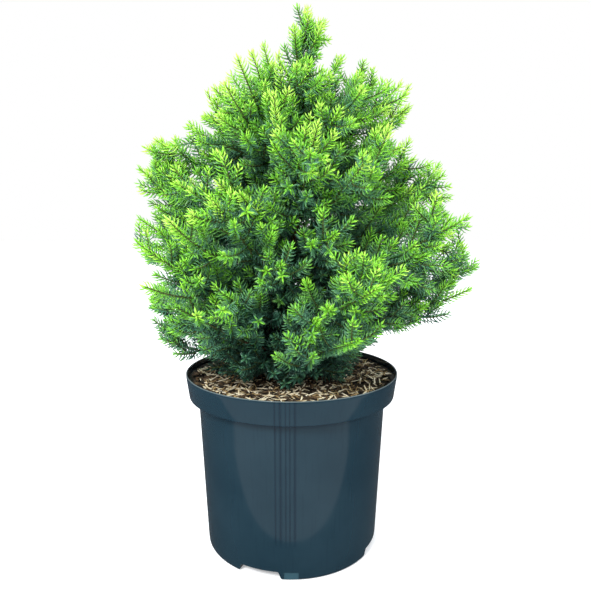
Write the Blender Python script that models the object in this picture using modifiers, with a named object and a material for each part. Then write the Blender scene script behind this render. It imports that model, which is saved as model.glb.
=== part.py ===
"""A dwarf golden Japanese cedar in a round nursery pot.

The trunk stands on the potting mix. Boughs leave it in tiers, and each bough ends where its mass of
foliage begins. A mass is one stem with side twigs, and every twig is a slim core with needles on it.
All sizes are in metres, +Z is up, and the origin is the centre of the pot's flat underside.
The view from the front looks along +Y, so left and right below are -X and +X.
"""

import math
import random
from collections import namedtuple

import bmesh
import bpy
from mathutils import Matrix, Vector, noise

SEED = 20
NODE_GAP = 0.0003
MERGE_DISTANCE = 0.00005

# Pot
POT_HEIGHT = 0.188
POT_STEPS = 48
RIM_RADIUS = 0.1125
RIM_BAND_HEIGHT = 0.0246
RIM_BAND_TAPER = 0.0030
RIM_STEP_HEIGHT = 0.0030
LIP_ROUNDING = 0.0006
BODY_TOP_RADIUS = 0.0998
BASE_RADIUS = 0.0918
FOOT_ROUNDING = 0.0030
POT_WALL = 0.0016
FLOOR_THICKNESS = 0.0025
FOOT_RING_INNER_RADIUS = 0.0600
FOOT_RING_HEIGHT = 0.0115

# Arches cut in the pot's foot, and the shallow panels beside them
ARCH_COUNT = 4
FIRST_ARCH_AZIMUTH = math.radians(-110.5)
ARCH_HEIGHT = 0.0090
ARCH_WIDTH = 0.0490
ARCH_END_SLANT = 0.0045
ARCH_INNER_RADIUS = 0.0640
PANEL_AZIMUTH = math.radians(-90.0)
PANEL_WIDTH = 0.0150
PANEL_HEIGHT = 0.0090
PANEL_DEPTH = 0.0010

# Potting mix
MIX_EDGE_HEIGHT = 0.1760
MIX_CENTRE_HEIGHT = 0.1790
MIX_FLAT_RADIUS = 0.0160
MIX_RINGS = 3
MIX_STEPS = 24
MIX_UNEVENNESS = 0.0022
MIX_LUMP_SIZE = 0.0300

# Trunk
TRUNK_FOOT_RADIUS = 0.0064
TRUNK_TIP_RADIUS = 0.0018
TRUNK_FLARE = 0.0035
TRUNK_FLARE_HEIGHT = 0.0070
TRUNK_TIP_HEIGHT = 0.4760
TRUNK_POINTS = 15
TRUNK_BEND = 0.0045
CROWN_TOP = 0.5550
LEADER_OFFSET = 0.0160

# Half widths of the whole crown seen from the front: height, to the left, to the right
CROWN_OUTLINE = (
    (0.200, 0.095, 0.075),
    (0.228, 0.140, 0.100),
    (0.252, 0.154, 0.160),
    (0.276, 0.154, 0.184),
    (0.301, 0.150, 0.198),
    (0.330, 0.165, 0.184),
    (0.354, 0.162, 0.188),
    (0.380, 0.154, 0.166),
    (0.407, 0.153, 0.160),
    (0.431, 0.141, 0.118),
    (0.450, 0.096, 0.122),
    (0.483, 0.086, 0.116),
    (0.503, 0.036, 0.080),
    (0.530, 0.012, 0.045),
    (0.556, -0.010, 0.020),
)

# Boughs and the stems that carry them on: a tier with no bough share sits on the trunk itself
Tier = namedtuple("Tier", "name trunk_height tip_height tip_spread count azimuth bough_share")
TIERS = (
    Tier("low", 0.1900, 0.230, 0.004, 4, 7.0, 0.46),
    Tier("skirt", 0.2060, 0.264, 0.012, 6, 172.0, 0.44),
    Tier("broad", 0.2340, 0.312, 0.014, 5, 2.0, 0.42),
    Tier("shoulder", 0.2700, 0.358, 0.010, 5, 176.0, 0.40),
    Tier("upper", 0.3120, 0.412, 0.014, 4, 8.0, 0.36),
    Tier("high", 0.3640, 0.466, -0.012, 4, -6.0, 0.0),
    Tier("top", 0.4240, 0.500, 0.006, 3, 20.0, 0.0),
)
BOUGH_ROOT_RADIUS = 0.0027
BOUGH_TIP_RADIUS = 0.0017
BOUGH_POINTS = 5
BOUGH_COLLAR = 0.0040
LIMB_ROOT_GAP = 0.0005
LIMB_RISE_POWER = 1.25
LIMB_SWAY = 0.05

# Foliage
CORE_SIDES = 3
STEM_RADIUS = 0.0021
TWIG_RADIUS = 0.0017
CORE_TIP_RADIUS = 0.0011
NEEDLE_REACH = 0.0105
NEEDLE_LEAN = 0.0050
NEEDLE_SPACING = 0.0125
CORE_TWIST = math.radians(44.0)
TWIG_BARE_LENGTH = 0.0060
STEM_BARE_LENGTH = 0.0100
TRUNK_STEM_BARE_LENGTH = 0.0240
TWIG_TRIES = 12
TRY_STRIDE = 5
TWIGS_PER_MASS = 5
LONGEST_TWIG = 0.0460
SHORTEST_TWIG = 0.0240
TWIG_ANGLE = math.radians(52.0)
TWIG_ANGLE_SPREAD = math.radians(8.0)
TWIG_UPTURN = 0.10
GOLDEN_ANGLE = math.radians(137.5)
FOLIAGE_CLEARANCE = 0.0008
OUTLINE_SLACK = 0.0040
FOLIAGE_REACH = NEEDLE_REACH + 0.0006
BARE_REACH = 0.0030

# Stretch: a straight run of a limb or twig with the room that it takes all round
Stretch = namedtuple("Stretch", "owner start end reach")


def clear_scene():
    """Remove everything that the startup file holds."""
    for obj in list(bpy.data.objects):
        bpy.data.objects.remove(obj, do_unlink=True)


def make_collection(name):
    collection = bpy.data.collections.new(name)
    bpy.context.scene.collection.children.link(collection)
    return collection


def make_material(name, colour, roughness, coat=0.0):
    material = bpy.data.materials.new(name)
    material.use_nodes = True
    shader = material.node_tree.nodes["Principled BSDF"]
    shader.inputs["Base Color"].default_value = (*colour, 1.0)
    shader.inputs["Roughness"].default_value = roughness
    shader.inputs["Metallic"].default_value = 0.0
    shader.inputs["Coat Weight"].default_value = coat
    material.diffuse_color = (*colour, 1.0)
    return material


def object_from_bmesh(name, bm, collection, material=None):
    mesh = bpy.data.meshes.new(name)
    bm.to_mesh(mesh)
    bm.free()
    obj = bpy.data.objects.new(name, mesh)
    collection.objects.link(obj)
    if material:
        mesh.materials.append(material)
    return obj


def evaluated_copy(obj, name, collection, material, merge=MERGE_DISTANCE):
    """The object with its modifiers or its curve settings made a plain mesh, in place of the object."""
    bpy.context.view_layer.update()
    graph = bpy.context.evaluated_depsgraph_get()
    mesh = bpy.data.meshes.new_from_object(obj.evaluated_get(graph))
    matrix = obj.matrix_world.copy()
    bpy.data.objects.remove(obj, do_unlink=True)
    bm = bmesh.new()
    bm.from_mesh(mesh)
    if merge:
        bmesh.ops.remove_doubles(bm, verts=bm.verts, dist=merge)
    bm.to_mesh(mesh)
    bm.free()
    mesh.name = name
    mesh.materials.clear()
    mesh.materials.append(material)
    result = bpy.data.objects.new(name, mesh)
    result.matrix_world = matrix
    collection.objects.link(result)
    return result


def turned_object(name, profile, steps, collection):
    """A turned solid: the profile of (radius, height) runs from the axis, down the outer side, to the axis."""
    bm = bmesh.new()
    corners = [bm.verts.new((radius, 0.0, height)) for radius, height in profile]
    for upper, lower in zip(corners, corners[1:]):
        bm.edges.new((upper, lower))
    obj = object_from_bmesh(name, bm, collection)
    screw = obj.modifiers.new("Turn", "SCREW")
    screw.steps = steps
    screw.render_steps = steps
    screw.use_merge_vertices = True
    screw.merge_threshold = MERGE_DISTANCE
    screw.use_smooth_shade = True
    return obj


def body_radius(height):
    """Outer radius of the pot's body, which tapers evenly from the rim's foot to the ground."""
    share = height / (POT_HEIGHT - RIM_BAND_HEIGHT)
    return BASE_RADIUS + (BODY_TOP_RADIUS - BASE_RADIUS) * share


def inner_wall():
    """The pot's inner side as (radius, height), from the floor's edge up to the lip."""
    step_top = POT_HEIGHT - RIM_BAND_HEIGHT
    step_foot = step_top - RIM_STEP_HEIGHT
    return [
        (body_radius(FOOT_RING_HEIGHT) - POT_WALL, FOOT_RING_HEIGHT),
        (body_radius(step_foot) - POT_WALL, step_foot),
        (RIM_RADIUS - RIM_BAND_TAPER - POT_WALL, step_top),
        (RIM_RADIUS - POT_WALL, POT_HEIGHT - LIP_ROUNDING),
    ]


def build_pot(collection, cutters, material):
    step_top = POT_HEIGHT - RIM_BAND_HEIGHT
    profile = [
        (0.0, FLOOR_THICKNESS),
        (FOOT_RING_INNER_RADIUS, FLOOR_THICKNESS),
        (FOOT_RING_INNER_RADIUS, FOOT_RING_HEIGHT),
        *inner_wall(),
        (RIM_RADIUS - POT_WALL + LIP_ROUNDING, POT_HEIGHT),
        (RIM_RADIUS - LIP_ROUNDING, POT_HEIGHT),
        (RIM_RADIUS, POT_HEIGHT - LIP_ROUNDING),
        (RIM_RADIUS - RIM_BAND_TAPER, step_top),
        (RIM_RADIUS - RIM_BAND_TAPER - LIP_ROUNDING, step_top - LIP_ROUNDING),
        (body_radius(step_top) + LIP_ROUNDING, step_top - RIM_STEP_HEIGHT / 2),
        (body_radius(step_top - RIM_STEP_HEIGHT), step_top - RIM_STEP_HEIGHT),
        (body_radius(2 * FOOT_ROUNDING), 2 * FOOT_ROUNDING),
        (BASE_RADIUS - FOOT_ROUNDING / 3, FOOT_ROUNDING / 2),
        (BASE_RADIUS - FOOT_ROUNDING, 0.0),
        (0.0, 0.0),
    ]
    pot = turned_object("pot", profile, POT_STEPS, collection)
    pot.data.materials.append(material)
    for number in range(ARCH_COUNT):
        turn = 2 * math.pi * number / ARCH_COUNT
        cut_box(pot, cutters, f"arch_{number + 1}", FIRST_ARCH_AZIMUTH + turn, ARCH_INNER_RADIUS,
                ARCH_WIDTH, ARCH_HEIGHT, ARCH_END_SLANT)
        cut_box(pot, cutters, f"panel_{number + 1}", PANEL_AZIMUTH + turn, BASE_RADIUS - PANEL_DEPTH,
                PANEL_WIDTH, PANEL_HEIGHT, 0.0)
    return pot


def cut_box(pot, cutters, name, azimuth, inner_radius, width, height, slant):
    """Cut a block out of the pot's foot: its ends slant in by slant towards the top."""
    margin = 0.0040
    depth = BODY_TOP_RADIUS + margin - inner_radius
    bm = bmesh.new()
    bmesh.ops.create_cube(bm, size=1.0)
    bmesh.ops.scale(bm, vec=(depth, width, height + margin), verts=bm.verts)
    for vertex in bm.verts:
        if vertex.co.z > 0:
            vertex.co.y -= math.copysign(slant, vertex.co.y)
    bmesh.ops.translate(bm, vec=(inner_radius + depth / 2, 0.0, (height - margin) / 2), verts=bm.verts)
    cutter = object_from_bmesh(name, bm, cutters)
    cutter.rotation_euler.z = azimuth
    cutter.hide_render = True
    cutter.display_type = "WIRE"
    cut = pot.modifiers.new(name, "BOOLEAN")
    cut.operation = "DIFFERENCE"
    cut.object = cutter


def mix_height(radius):
    """Height of the potting mix's mean surface, level round the trunk and lower at the wall."""
    edge = RIM_RADIUS - RIM_BAND_TAPER
    share = max(0.0, (radius - MIX_FLAT_RADIUS) / (edge - MIX_FLAT_RADIUS))
    return MIX_CENTRE_HEIGHT + (MIX_EDGE_HEIGHT - MIX_CENTRE_HEIGHT) * share


def build_mix(collection, material):
    """The potting mix fills the pot, clear of its wall and floor by the gap between nodes."""
    floor_edge, step_foot, step_top, lip = inner_wall()
    share = (MIX_EDGE_HEIGHT - step_top[1]) / (lip[1] - step_top[1])
    edge = step_top[0] + (lip[0] - step_top[0]) * share - NODE_GAP
    rings = [MIX_FLAT_RADIUS + (edge - MIX_FLAT_RADIUS) * ring / MIX_RINGS for ring in range(MIX_RINGS)]
    low = FLOOR_THICKNESS + NODE_GAP
    ledge = FOOT_RING_HEIGHT + NODE_GAP
    profile = [
        (0.0, MIX_CENTRE_HEIGHT),
        *[(radius, mix_height(radius)) for radius in rings],
        (edge, MIX_EDGE_HEIGHT),
        (step_top[0] - 2 * NODE_GAP, step_top[1] + NODE_GAP),
        (step_foot[0] - 2 * NODE_GAP, step_foot[1]),
        (floor_edge[0] - 2 * NODE_GAP, ledge),
        (FOOT_RING_INNER_RADIUS - 2 * NODE_GAP, ledge),
        (FOOT_RING_INNER_RADIUS - 2 * NODE_GAP, low),
        (0.0, low),
    ]
    turned = turned_object("mix_profile", profile, MIX_STEPS, collection)
    mix = evaluated_copy(turned, "potting_mix", collection, material)
    for vertex in mix.data.vertices:
        radius = vertex.co.xy.length
        if vertex.co.z > MIX_EDGE_HEIGHT - NODE_GAP and MIX_FLAT_RADIUS * 1.1 < radius < edge - NODE_GAP:
            vertex.co.z += MIX_UNEVENNESS * noise.noise(vertex.co / MIX_LUMP_SIZE)
    mix.data.shade_smooth()
    mix.data.set_sharp_from_angle(angle=math.radians(40))
    return mix


def trunk_axis(height):
    """Centre of the trunk at this height: a slight bend, and a lean to the right at the top."""
    share = (height - MIX_CENTRE_HEIGHT) / (CROWN_TOP - MIX_CENTRE_HEIGHT)
    x = LEADER_OFFSET * share ** 2 - TRUNK_BEND * math.sin(math.pi * share)
    y = TRUNK_BEND * 0.5 * math.sin(2 * math.pi * share) * share
    return Vector((x, y, height))


def trunk_radius(height):
    share = (height - MIX_CENTRE_HEIGHT) / (TRUNK_TIP_HEIGHT - MIX_CENTRE_HEIGHT)
    flare = TRUNK_FLARE * math.exp(-(height - MIX_CENTRE_HEIGHT) / TRUNK_FLARE_HEIGHT)
    return TRUNK_FOOT_RADIUS + (TRUNK_TIP_RADIUS - TRUNK_FOOT_RADIUS) * share ** 0.8 + flare


def tapered_limb(name, points, radii, resolution, collection, material):
    """A round limb through the points, with a flat cut at each end."""
    curve = bpy.data.curves.new(name, "CURVE")
    curve.dimensions = "3D"
    curve.bevel_depth = 1.0
    curve.bevel_resolution = resolution
    curve.use_fill_caps = True
    spline = curve.splines.new("POLY")
    spline.points.add(len(points) - 1)
    for target, point, radius in zip(spline.points, points, radii):
        target.co = (*point, 1.0)
        target.radius = radius
    limb = bpy.data.objects.new(name + "_route", curve)
    collection.objects.link(limb)
    result = evaluated_copy(limb, name, collection, material)
    result.data.shade_smooth()
    result.data.set_sharp_from_angle(angle=math.radians(50))
    return result


def build_trunk(collection, material):
    foot = MIX_CENTRE_HEIGHT + NODE_GAP
    heights = [foot + TRUNK_FLARE_HEIGHT * share for share in (0.0, 0.33, 1.0, 2.0)]
    rest = TRUNK_POINTS - len(heights)
    heights += [heights[-1] + (TRUNK_TIP_HEIGHT - heights[-1]) * step / rest for step in range(1, rest + 1)]
    points = [trunk_axis(height) for height in heights]
    points[0] = Vector((*points[1].xy, foot))
    radii = [trunk_radius(height) for height in heights]
    return tapered_limb("trunk", points, radii, 2, collection, material)


def crown_reach(height, azimuth):
    """Distance from the pot's axis to the crown's outline, blended from its left to its right side."""
    rows = list(zip(CROWN_OUTLINE, CROWN_OUTLINE[1:]))
    below, above = next((pair for pair in rows if height <= pair[1][0]), rows[-1])
    share = min(1.0, max(0.0, (height - below[0]) / (above[0] - below[0])))
    left = below[1] + (above[1] - below[1]) * share
    right = below[2] + (above[2] - below[2]) * share
    return left + (right - left) * 0.5 * (1 + math.cos(azimuth))


class Limb:
    """One bough and the stem of its mass, which share a single rising curve from the trunk to a tip."""

    def __init__(self, tier, number):
        draw = random.Random(f"{SEED}-{tier.name}-{number}")
        self.tier = tier
        self.name = f"{tier.name}_{number + 1}"
        turn = 2 * math.pi * number / tier.count
        self.azimuth = math.radians(tier.azimuth) + turn + draw.uniform(-0.06, 0.06)
        height = tier.trunk_height + draw.uniform(-0.003, 0.003)
        tip_height = tier.tip_height + tier.tip_spread * (1 if number % 2 else -1)
        self.outward = Vector((math.cos(self.azimuth), math.sin(self.azimuth), 0.0))
        self.root = trunk_axis(height) + self.outward * (trunk_radius(height) + LIMB_ROOT_GAP)
        reach = crown_reach(tip_height, self.azimuth) - self.root.xy.length
        self.run = self.outward * reach
        self.collar = BOUGH_COLLAR / reach
        self.rise = tip_height - height
        self.sway = self.outward.cross(Vector((0, 0, 1))) * reach * draw.uniform(-LIMB_SWAY, LIMB_SWAY)
        self.draw = draw

    def point(self, share):
        """The curve's point: it leaves the trunk level and then rises."""
        side = self.sway * math.sin(math.pi * share) * share
        climb = max(0.0, (share - self.collar) / (1 - self.collar)) ** LIMB_RISE_POWER
        return self.root + self.run * share + side + Vector((0, 0, self.rise * climb))

    def direction(self, share):
        step = 0.01
        return (self.point(share + step) - self.point(share - step if share else 0.0)).normalized()

    def stem_route(self):
        """Start, middle and end of the mass's stem."""
        begin = self.tier.bough_share
        if begin:
            start = self.point(begin) + self.direction(begin) * NODE_GAP
            return [start, self.point((1 + begin) / 2), self.point(1.0)]
        level_start = self.root + self.run / 2 + Vector((0, 0, self.rise / 4))
        return [self.root, level_start, self.point(1.0)]


def leader_route():
    """The stem above the trunk's tip, up to the crown's top."""
    tip = trunk_axis(TRUNK_TIP_HEIGHT)
    below = trunk_axis(TRUNK_TIP_HEIGHT - 0.01)
    start = tip + (tip - below).normalized() * NODE_GAP
    end = Vector((LEADER_OFFSET, 0.0, CROWN_TOP))
    middle = (start + end) / 2 + Vector((-0.0012, 0.0, 0.0))
    return [start, middle, end]


def on_route(route, share):
    """Point of the smooth curve through a route's start, middle and end."""
    start, middle, end = route
    return (
        start * (2 * share - 1) * (share - 1)
        + middle * 4 * share * (1 - share)
        + end * share * (2 * share - 1)
    )


def route_direction(route, share):
    step = 0.01
    return (on_route(route, share + step) - on_route(route, share - step)).normalized()


def twig_route(stem, place, angle, roll, length):
    """A side twig: it leaves the stem at an angle, turned round it by roll, and bends up a little."""
    along = route_direction(stem, place)
    side = along.cross(Vector((0, 0, 1)))
    side = side.normalized() if side.length > 0.1 else Vector((1, 0, 0))
    across = Matrix.Rotation(roll, 3, along) @ side
    heading = along * math.cos(angle) + across * math.sin(angle)
    start = on_route(stem, place)
    middle = start + heading * length / 2
    end = start + (heading + along * TWIG_UPTURN + Vector((0, 0, TWIG_UPTURN))).normalized() * length
    return [start, middle, end]


def stretches_of(owner, route, bare):
    """The room that a needled twig takes, in straight runs: a slim one for its bare foot, then wide ones."""
    length = (route[2] - route[0]).length
    shares = [0.0, bare / length, 0.5 + bare / length / 2, 1.0]
    points = [on_route(route, share) for share in shares]
    reaches = (BARE_REACH, FOLIAGE_REACH, FOLIAGE_REACH)
    return [Stretch(owner, *pair, reach) for *pair, reach in zip(points, points[1:], reaches)]


def closest_distance(first, second):
    """Least distance between two straight runs."""
    u, v = first.end - first.start, second.end - second.start
    between = first.start - second.start
    uu, uv, vv = u.dot(u), u.dot(v), v.dot(v)
    ub, vb = u.dot(between), v.dot(between)
    spread = uu * vv - uv * uv
    s = min(1.0, max(0.0, (uv * vb - vv * ub) / spread)) if spread > 1e-12 else 0.0
    t = (uv * s + vb) / vv
    if not 0.0 <= t <= 1.0:
        t = min(1.0, max(0.0, t))
        s = min(1.0, max(0.0, (uv * t - ub) / uu))
    return (between + u * s - v * t).length


def lowest_foliage(radius):
    """Least height of a twig's axis: over the potting mix inside the pot, and over the lip outside it."""
    inside = radius < RIM_RADIUS - POT_WALL - FOLIAGE_REACH
    return FOLIAGE_REACH + (MIX_CENTRE_HEIGHT + MIX_UNEVENNESS if inside else POT_HEIGHT + FOLIAGE_CLEARANCE)


def has_room(owner, stretches, taken):
    """Whether a twig stays in the crown's outline, above the pot and clear of everything but its own mass."""
    tip = stretches[-1].end
    if tip.xy.length > crown_reach(tip.z, math.atan2(tip.y, tip.x)) + OUTLINE_SLACK:
        return False
    if any(stretch.end.z < lowest_foliage(stretch.end.xy.length) for stretch in stretches):
        return False
    for stretch in stretches:
        for other in taken:
            room = stretch.reach + other.reach + FOLIAGE_CLEARANCE
            if other.owner != owner and closest_distance(stretch, other) < room:
                return False
    return True


def grow_twigs(name, stem, draw, taken):
    """Side twigs of one mass: tried in turn round its stem, and left out where they have no room."""
    stem_length = (stem[2] - stem[0]).length
    roll = draw.uniform(0, 2 * math.pi)
    twigs = []
    for number in range(TWIG_TRIES):
        share = (number * TRY_STRIDE % TWIG_TRIES + 0.5) / TWIG_TRIES
        place = 0.14 + 0.68 * share
        angle = TWIG_ANGLE + draw.uniform(-1, 1) * TWIG_ANGLE_SPREAD
        length = max(SHORTEST_TWIG, min(LONGEST_TWIG, stem_length * (0.62 - 0.34 * share)))
        length *= draw.uniform(0.88, 1.08)
        roll += GOLDEN_ANGLE
        route = twig_route(stem, place, angle, roll, length)
        stretches = stretches_of(name, route, TWIG_BARE_LENGTH)
        if len(twigs) < TWIGS_PER_MASS and has_room(name, stretches, taken):
            twigs.append(route)
            taken.extend(stretches)
    return twigs


def needled_core(name, route, radius, bare, collection):
    """A slim core along the route, each face of it past the bare foot pulled out into a needle."""
    length = (route[2] - route[0]).length
    rings = max(2, round((length - bare) / NEEDLE_SPACING))
    bm = bmesh.new()
    bmesh.ops.create_cone(bm, cap_ends=True, segments=CORE_SIDES, radius1=radius,
                          radius2=CORE_TIP_RADIUS, depth=length)
    bmesh.ops.translate(bm, vec=(0.0, 0.0, length / 2), verts=bm.verts)
    lengthwise = [edge for edge in bm.edges if abs(edge.verts[0].co.z - edge.verts[1].co.z) > length / 2]
    bmesh.ops.subdivide_edges(bm, edges=lengthwise, cuts=rings)
    for vertex in bm.verts:
        step = round(vertex.co.z / length * (rings + 1))
        if step:
            vertex.co.z = bare + (length - bare) * (step - 1) / rings
            vertex.co.rotate(Matrix.Rotation(CORE_TWIST * step, 3, "Z"))
    bm.normal_update()
    tip_face = max((face for face in bm.faces), key=lambda face: face.calc_center_median().z)
    sides = [face for face in bm.faces if abs(face.normal.z) < 0.9 and face.calc_center_median().z > bare]
    bmesh.ops.poke(bm, faces=[tip_face], offset=CORE_TIP_RADIUS * 2)
    needles = bmesh.ops.poke(bm, faces=sides, offset=NEEDLE_REACH - radius / 2)
    bmesh.ops.translate(bm, vec=(0.0, 0.0, NEEDLE_LEAN), verts=needles["verts"])
    for vertex in bm.verts:
        vertex.co = bent_on_to(route, vertex.co, length)
    return object_from_bmesh(name, bm, collection)


def bent_on_to(route, point, length):
    """Carry a point of a straight core at the origin on to the route."""
    share = min(1.0, max(0.0, point.z / length))
    along = route_direction(route, share)
    turn = along.to_track_quat("Z", "Y").to_matrix()
    return on_route(route, share) + turn @ Vector((point.x, point.y, 0.0)) + along * (point.z - share * length)


def keep_largest_shell(mesh):
    """Drop the loose scraps and sealed hollows that fusing leaves: only the outer shell stays."""
    bm = bmesh.new()
    bm.from_mesh(mesh)
    left = set(bm.verts)
    shells = []
    while left:
        shell, front = set(), [left.pop()]
        while front:
            vertex = front.pop()
            shell.add(vertex)
            near = {edge.other_vert(vertex) for edge in vertex.link_edges} & left
            left -= near
            front.extend(near)
        shells.append(shell)
    largest = max(shells, key=len)
    scraps = [vertex for vertex in bm.verts if vertex not in largest]
    bmesh.ops.delete(bm, geom=scraps, context="VERTS")
    bmesh.ops.triangulate(bm, faces=bm.faces)
    bm.to_mesh(mesh)
    bm.free()


def build_mass(name, stem, bare, twigs, collection, material):
    """Fuse one stem and its twigs into a single solid."""
    loose = make_collection(name + "_twigs")
    whole = needled_core(name + "_stem", stem, STEM_RADIUS, bare, collection)
    for number, twig in enumerate(twigs):
        needled_core(f"{name}_twig_{number + 1}", twig, TWIG_RADIUS, TWIG_BARE_LENGTH, loose)
    union = whole.modifiers.new("Fuse", "BOOLEAN")
    union.operation = "UNION"
    union.solver = "MANIFOLD"
    union.operand_type = "COLLECTION"
    union.collection = loose
    mass = evaluated_copy(whole, name, collection, material, merge=0.0)
    for obj in list(loose.objects):
        bpy.data.objects.remove(obj, do_unlink=True)
    bpy.data.collections.remove(loose)
    keep_largest_shell(mass.data)
    return mass


def main():
    clear_scene()
    plant = make_collection("potted_dwarf_cedar")
    cutters = make_collection("cutters")
    pot_plastic = make_material("pot_plastic", (0.035, 0.075, 0.098), 0.22, 0.4)
    mulch = make_material("mulch", (0.085, 0.045, 0.026), 0.9)
    bark = make_material("bark", (0.115, 0.055, 0.030), 0.85)
    greens = [
        make_material("foliage_deep", (0.030, 0.130, 0.035), 0.55),
        make_material("foliage_mid", (0.110, 0.330, 0.040), 0.55),
        make_material("foliage_gold", (0.400, 0.640, 0.070), 0.55),
    ]
    build_pot(plant, cutters, pot_plastic)
    build_mix(plant, mulch)
    build_trunk(plant, bark)

    taken = []
    foot = trunk_axis(MIX_CENTRE_HEIGHT)
    runs = 6
    heights = [foot.z + (TRUNK_TIP_HEIGHT - foot.z) * step / runs for step in range(runs + 1)]
    for low, high in zip(heights, heights[1:]):
        taken.append(Stretch("trunk", trunk_axis(low), trunk_axis(high), trunk_radius(low)))

    masses = []
    limbs = [Limb(tier, number) for tier in TIERS for number in range(tier.count)]
    for limb in limbs:
        share = limb.tier.bough_share
        stem = limb.stem_route()
        masses.append((limb.name, stem, STEM_BARE_LENGTH if share else TRUNK_STEM_BARE_LENGTH, limb.draw))
        if share:
            rest = [share * step / (BOUGH_POINTS - 2) for step in range(1, BOUGH_POINTS - 1)]
            shares = [0.0, limb.collar, *rest]
            points = [limb.point(step) for step in shares]
            taper = BOUGH_TIP_RADIUS - BOUGH_ROOT_RADIUS
            radii = [BOUGH_ROOT_RADIUS + taper * step / share for step in shares]
            tapered_limb("bough_" + limb.name, points, radii, 1, plant, bark)
            taken.extend(Stretch("bough", *pair, BOUGH_ROOT_RADIUS) for pair in zip(points, points[1:]))
    masses.append(("leader", leader_route(), STEM_BARE_LENGTH, random.Random(f"{SEED}-leader")))

    for name, stem, bare, _ in masses:
        taken.extend(stretches_of(name, stem, bare))
    for number, (name, stem, bare, draw) in enumerate(masses):
        twigs = grow_twigs(name, stem, draw, taken)
        shade = greens[min(2, int(3 * number / len(masses)))]
        build_mass("foliage_" + name, stem, bare, twigs, plant, shade)


main()
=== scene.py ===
"""Looks of a small golden cedar in a glossy nursery pot: bark, needles, mulch, pot, light and camera."""

import logging
import math
import random
from dataclasses import dataclass, field
from enum import Enum
from typing import Callable, Iterable, Sequence

import bmesh
import bpy
import numpy as np
from mathutils import Matrix, Vector, noise

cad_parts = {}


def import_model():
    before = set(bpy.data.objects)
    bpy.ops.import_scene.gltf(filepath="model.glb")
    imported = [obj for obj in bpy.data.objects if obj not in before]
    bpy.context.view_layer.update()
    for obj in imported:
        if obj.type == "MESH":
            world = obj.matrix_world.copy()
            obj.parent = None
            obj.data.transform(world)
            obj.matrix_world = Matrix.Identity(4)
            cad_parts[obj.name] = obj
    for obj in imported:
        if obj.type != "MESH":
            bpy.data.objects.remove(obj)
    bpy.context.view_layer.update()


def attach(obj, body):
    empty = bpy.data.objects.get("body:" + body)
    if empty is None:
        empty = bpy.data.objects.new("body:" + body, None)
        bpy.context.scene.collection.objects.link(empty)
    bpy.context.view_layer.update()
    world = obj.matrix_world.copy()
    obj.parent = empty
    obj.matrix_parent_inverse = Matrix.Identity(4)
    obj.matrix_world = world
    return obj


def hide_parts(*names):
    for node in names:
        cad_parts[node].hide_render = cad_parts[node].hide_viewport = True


LOG = logging.getLogger("potted_cedar")
MM = 0.001
SEED = 20
GOLDEN_ANGLE = math.radians(137.5)
UP = Vector((0.0, 0.0, 1.0))


def linear(red: float, green: float, blue: float) -> tuple[float, float, float, float]:
    """A display colour of 0 to 255 a channel as the linear colour that shaders take.

    Args:
        red: red channel.
        green: green channel.
        blue: blue channel.

    Returns:
        Linear red, green, blue and an alpha of one.
    """
    shares = (channel / 255 for channel in (red, green, blue))
    low = 0.04045
    return (*(((s + 0.055) / 1.055) ** 2.4 if s > low else s / 12.92 for s in shares), 1.0)


class Value:
    """A shader socket that can be used in a Python expression."""

    def __init__(self, tree: bpy.types.NodeTree, socket: bpy.types.NodeSocket) -> None:
        """Keep the tree and the socket."""
        self.tree = tree
        self.socket = socket

    def math(self, operation: str, other: "Value | float", swap: bool = False) -> "Value":
        """Add one Math node.

        Args:
            operation: the node's operation.
            other: the second operand.
            swap: whether the operands change places.

        Returns:
            The node's result.
        """
        pair = (other, self) if swap else (self, other)
        made = add_node(self.tree, "ShaderNodeMath", {"operation": operation}, dict(enumerate(pair)))
        return Value(self.tree, made.outputs[0])

    def __add__(self, other: "Value | float") -> "Value":
        """Sum."""
        return self.math("ADD", other)

    def __radd__(self, other: float) -> "Value":
        """Sum, reflected."""
        return self.math("ADD", other, True)

    def __sub__(self, other: "Value | float") -> "Value":
        """Difference."""
        return self.math("SUBTRACT", other)

    def __rsub__(self, other: float) -> "Value":
        """Difference, reflected."""
        return self.math("SUBTRACT", other, True)

    def __mul__(self, other: "Value | float") -> "Value":
        """Product."""
        return self.math("MULTIPLY", other)

    def __rmul__(self, other: float) -> "Value":
        """Product, reflected."""
        return self.math("MULTIPLY", other, True)

    def above(self, edge: float, soft: float) -> "Value":
        """Mask that rises from 0 to 1 as the value passes the edge.

        Args:
            edge: where the mask begins.
            soft: how far it takes to reach one.

        Returns:
            The mask, held between 0 and 1.
        """
        made = add_node(self.tree, "ShaderNodeClamp", {}, {"Value": (self - edge) * (1 / soft)})
        return Value(self.tree, made.outputs[0])

    def near(self, centre: float, half_width: float) -> "Value":
        """Mask that is 1 at the centre and falls to 0 half a width away.

        Args:
            centre: the value where the mask is one.
            half_width: distance at which it has fallen to zero.

        Returns:
            The mask.
        """
        return 1.0 - (self - centre).math("ABSOLUTE", 0.0).above(0.0, half_width)


def plug(tree: bpy.types.NodeTree, socket: bpy.types.NodeSocket, value: "Value | float | tuple") -> None:
    """Link a shader value to a socket, or set the socket to plain numbers.

    Args:
        tree: the tree that the socket is in.
        socket: the input socket.
        value: a shader value, a number or a colour.
    """
    if isinstance(value, Value):
        tree.links.new(value.socket, socket)
    else:
        socket.default_value = value


def add_node(tree: bpy.types.NodeTree, kind: str, settings: dict, sockets: dict) -> bpy.types.Node:
    """Add any node.

    Args:
        tree: the tree that takes it.
        kind: the node's type.
        settings: attributes, set before the sockets.
        sockets: values or links by socket name or number.

    Returns:
        The node.
    """
    made = tree.nodes.new(kind)
    for key, value in settings.items():
        setattr(made, key, value)
    for key, value in sockets.items():
        plug(tree, made.inputs[key], value)
    return made


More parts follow.
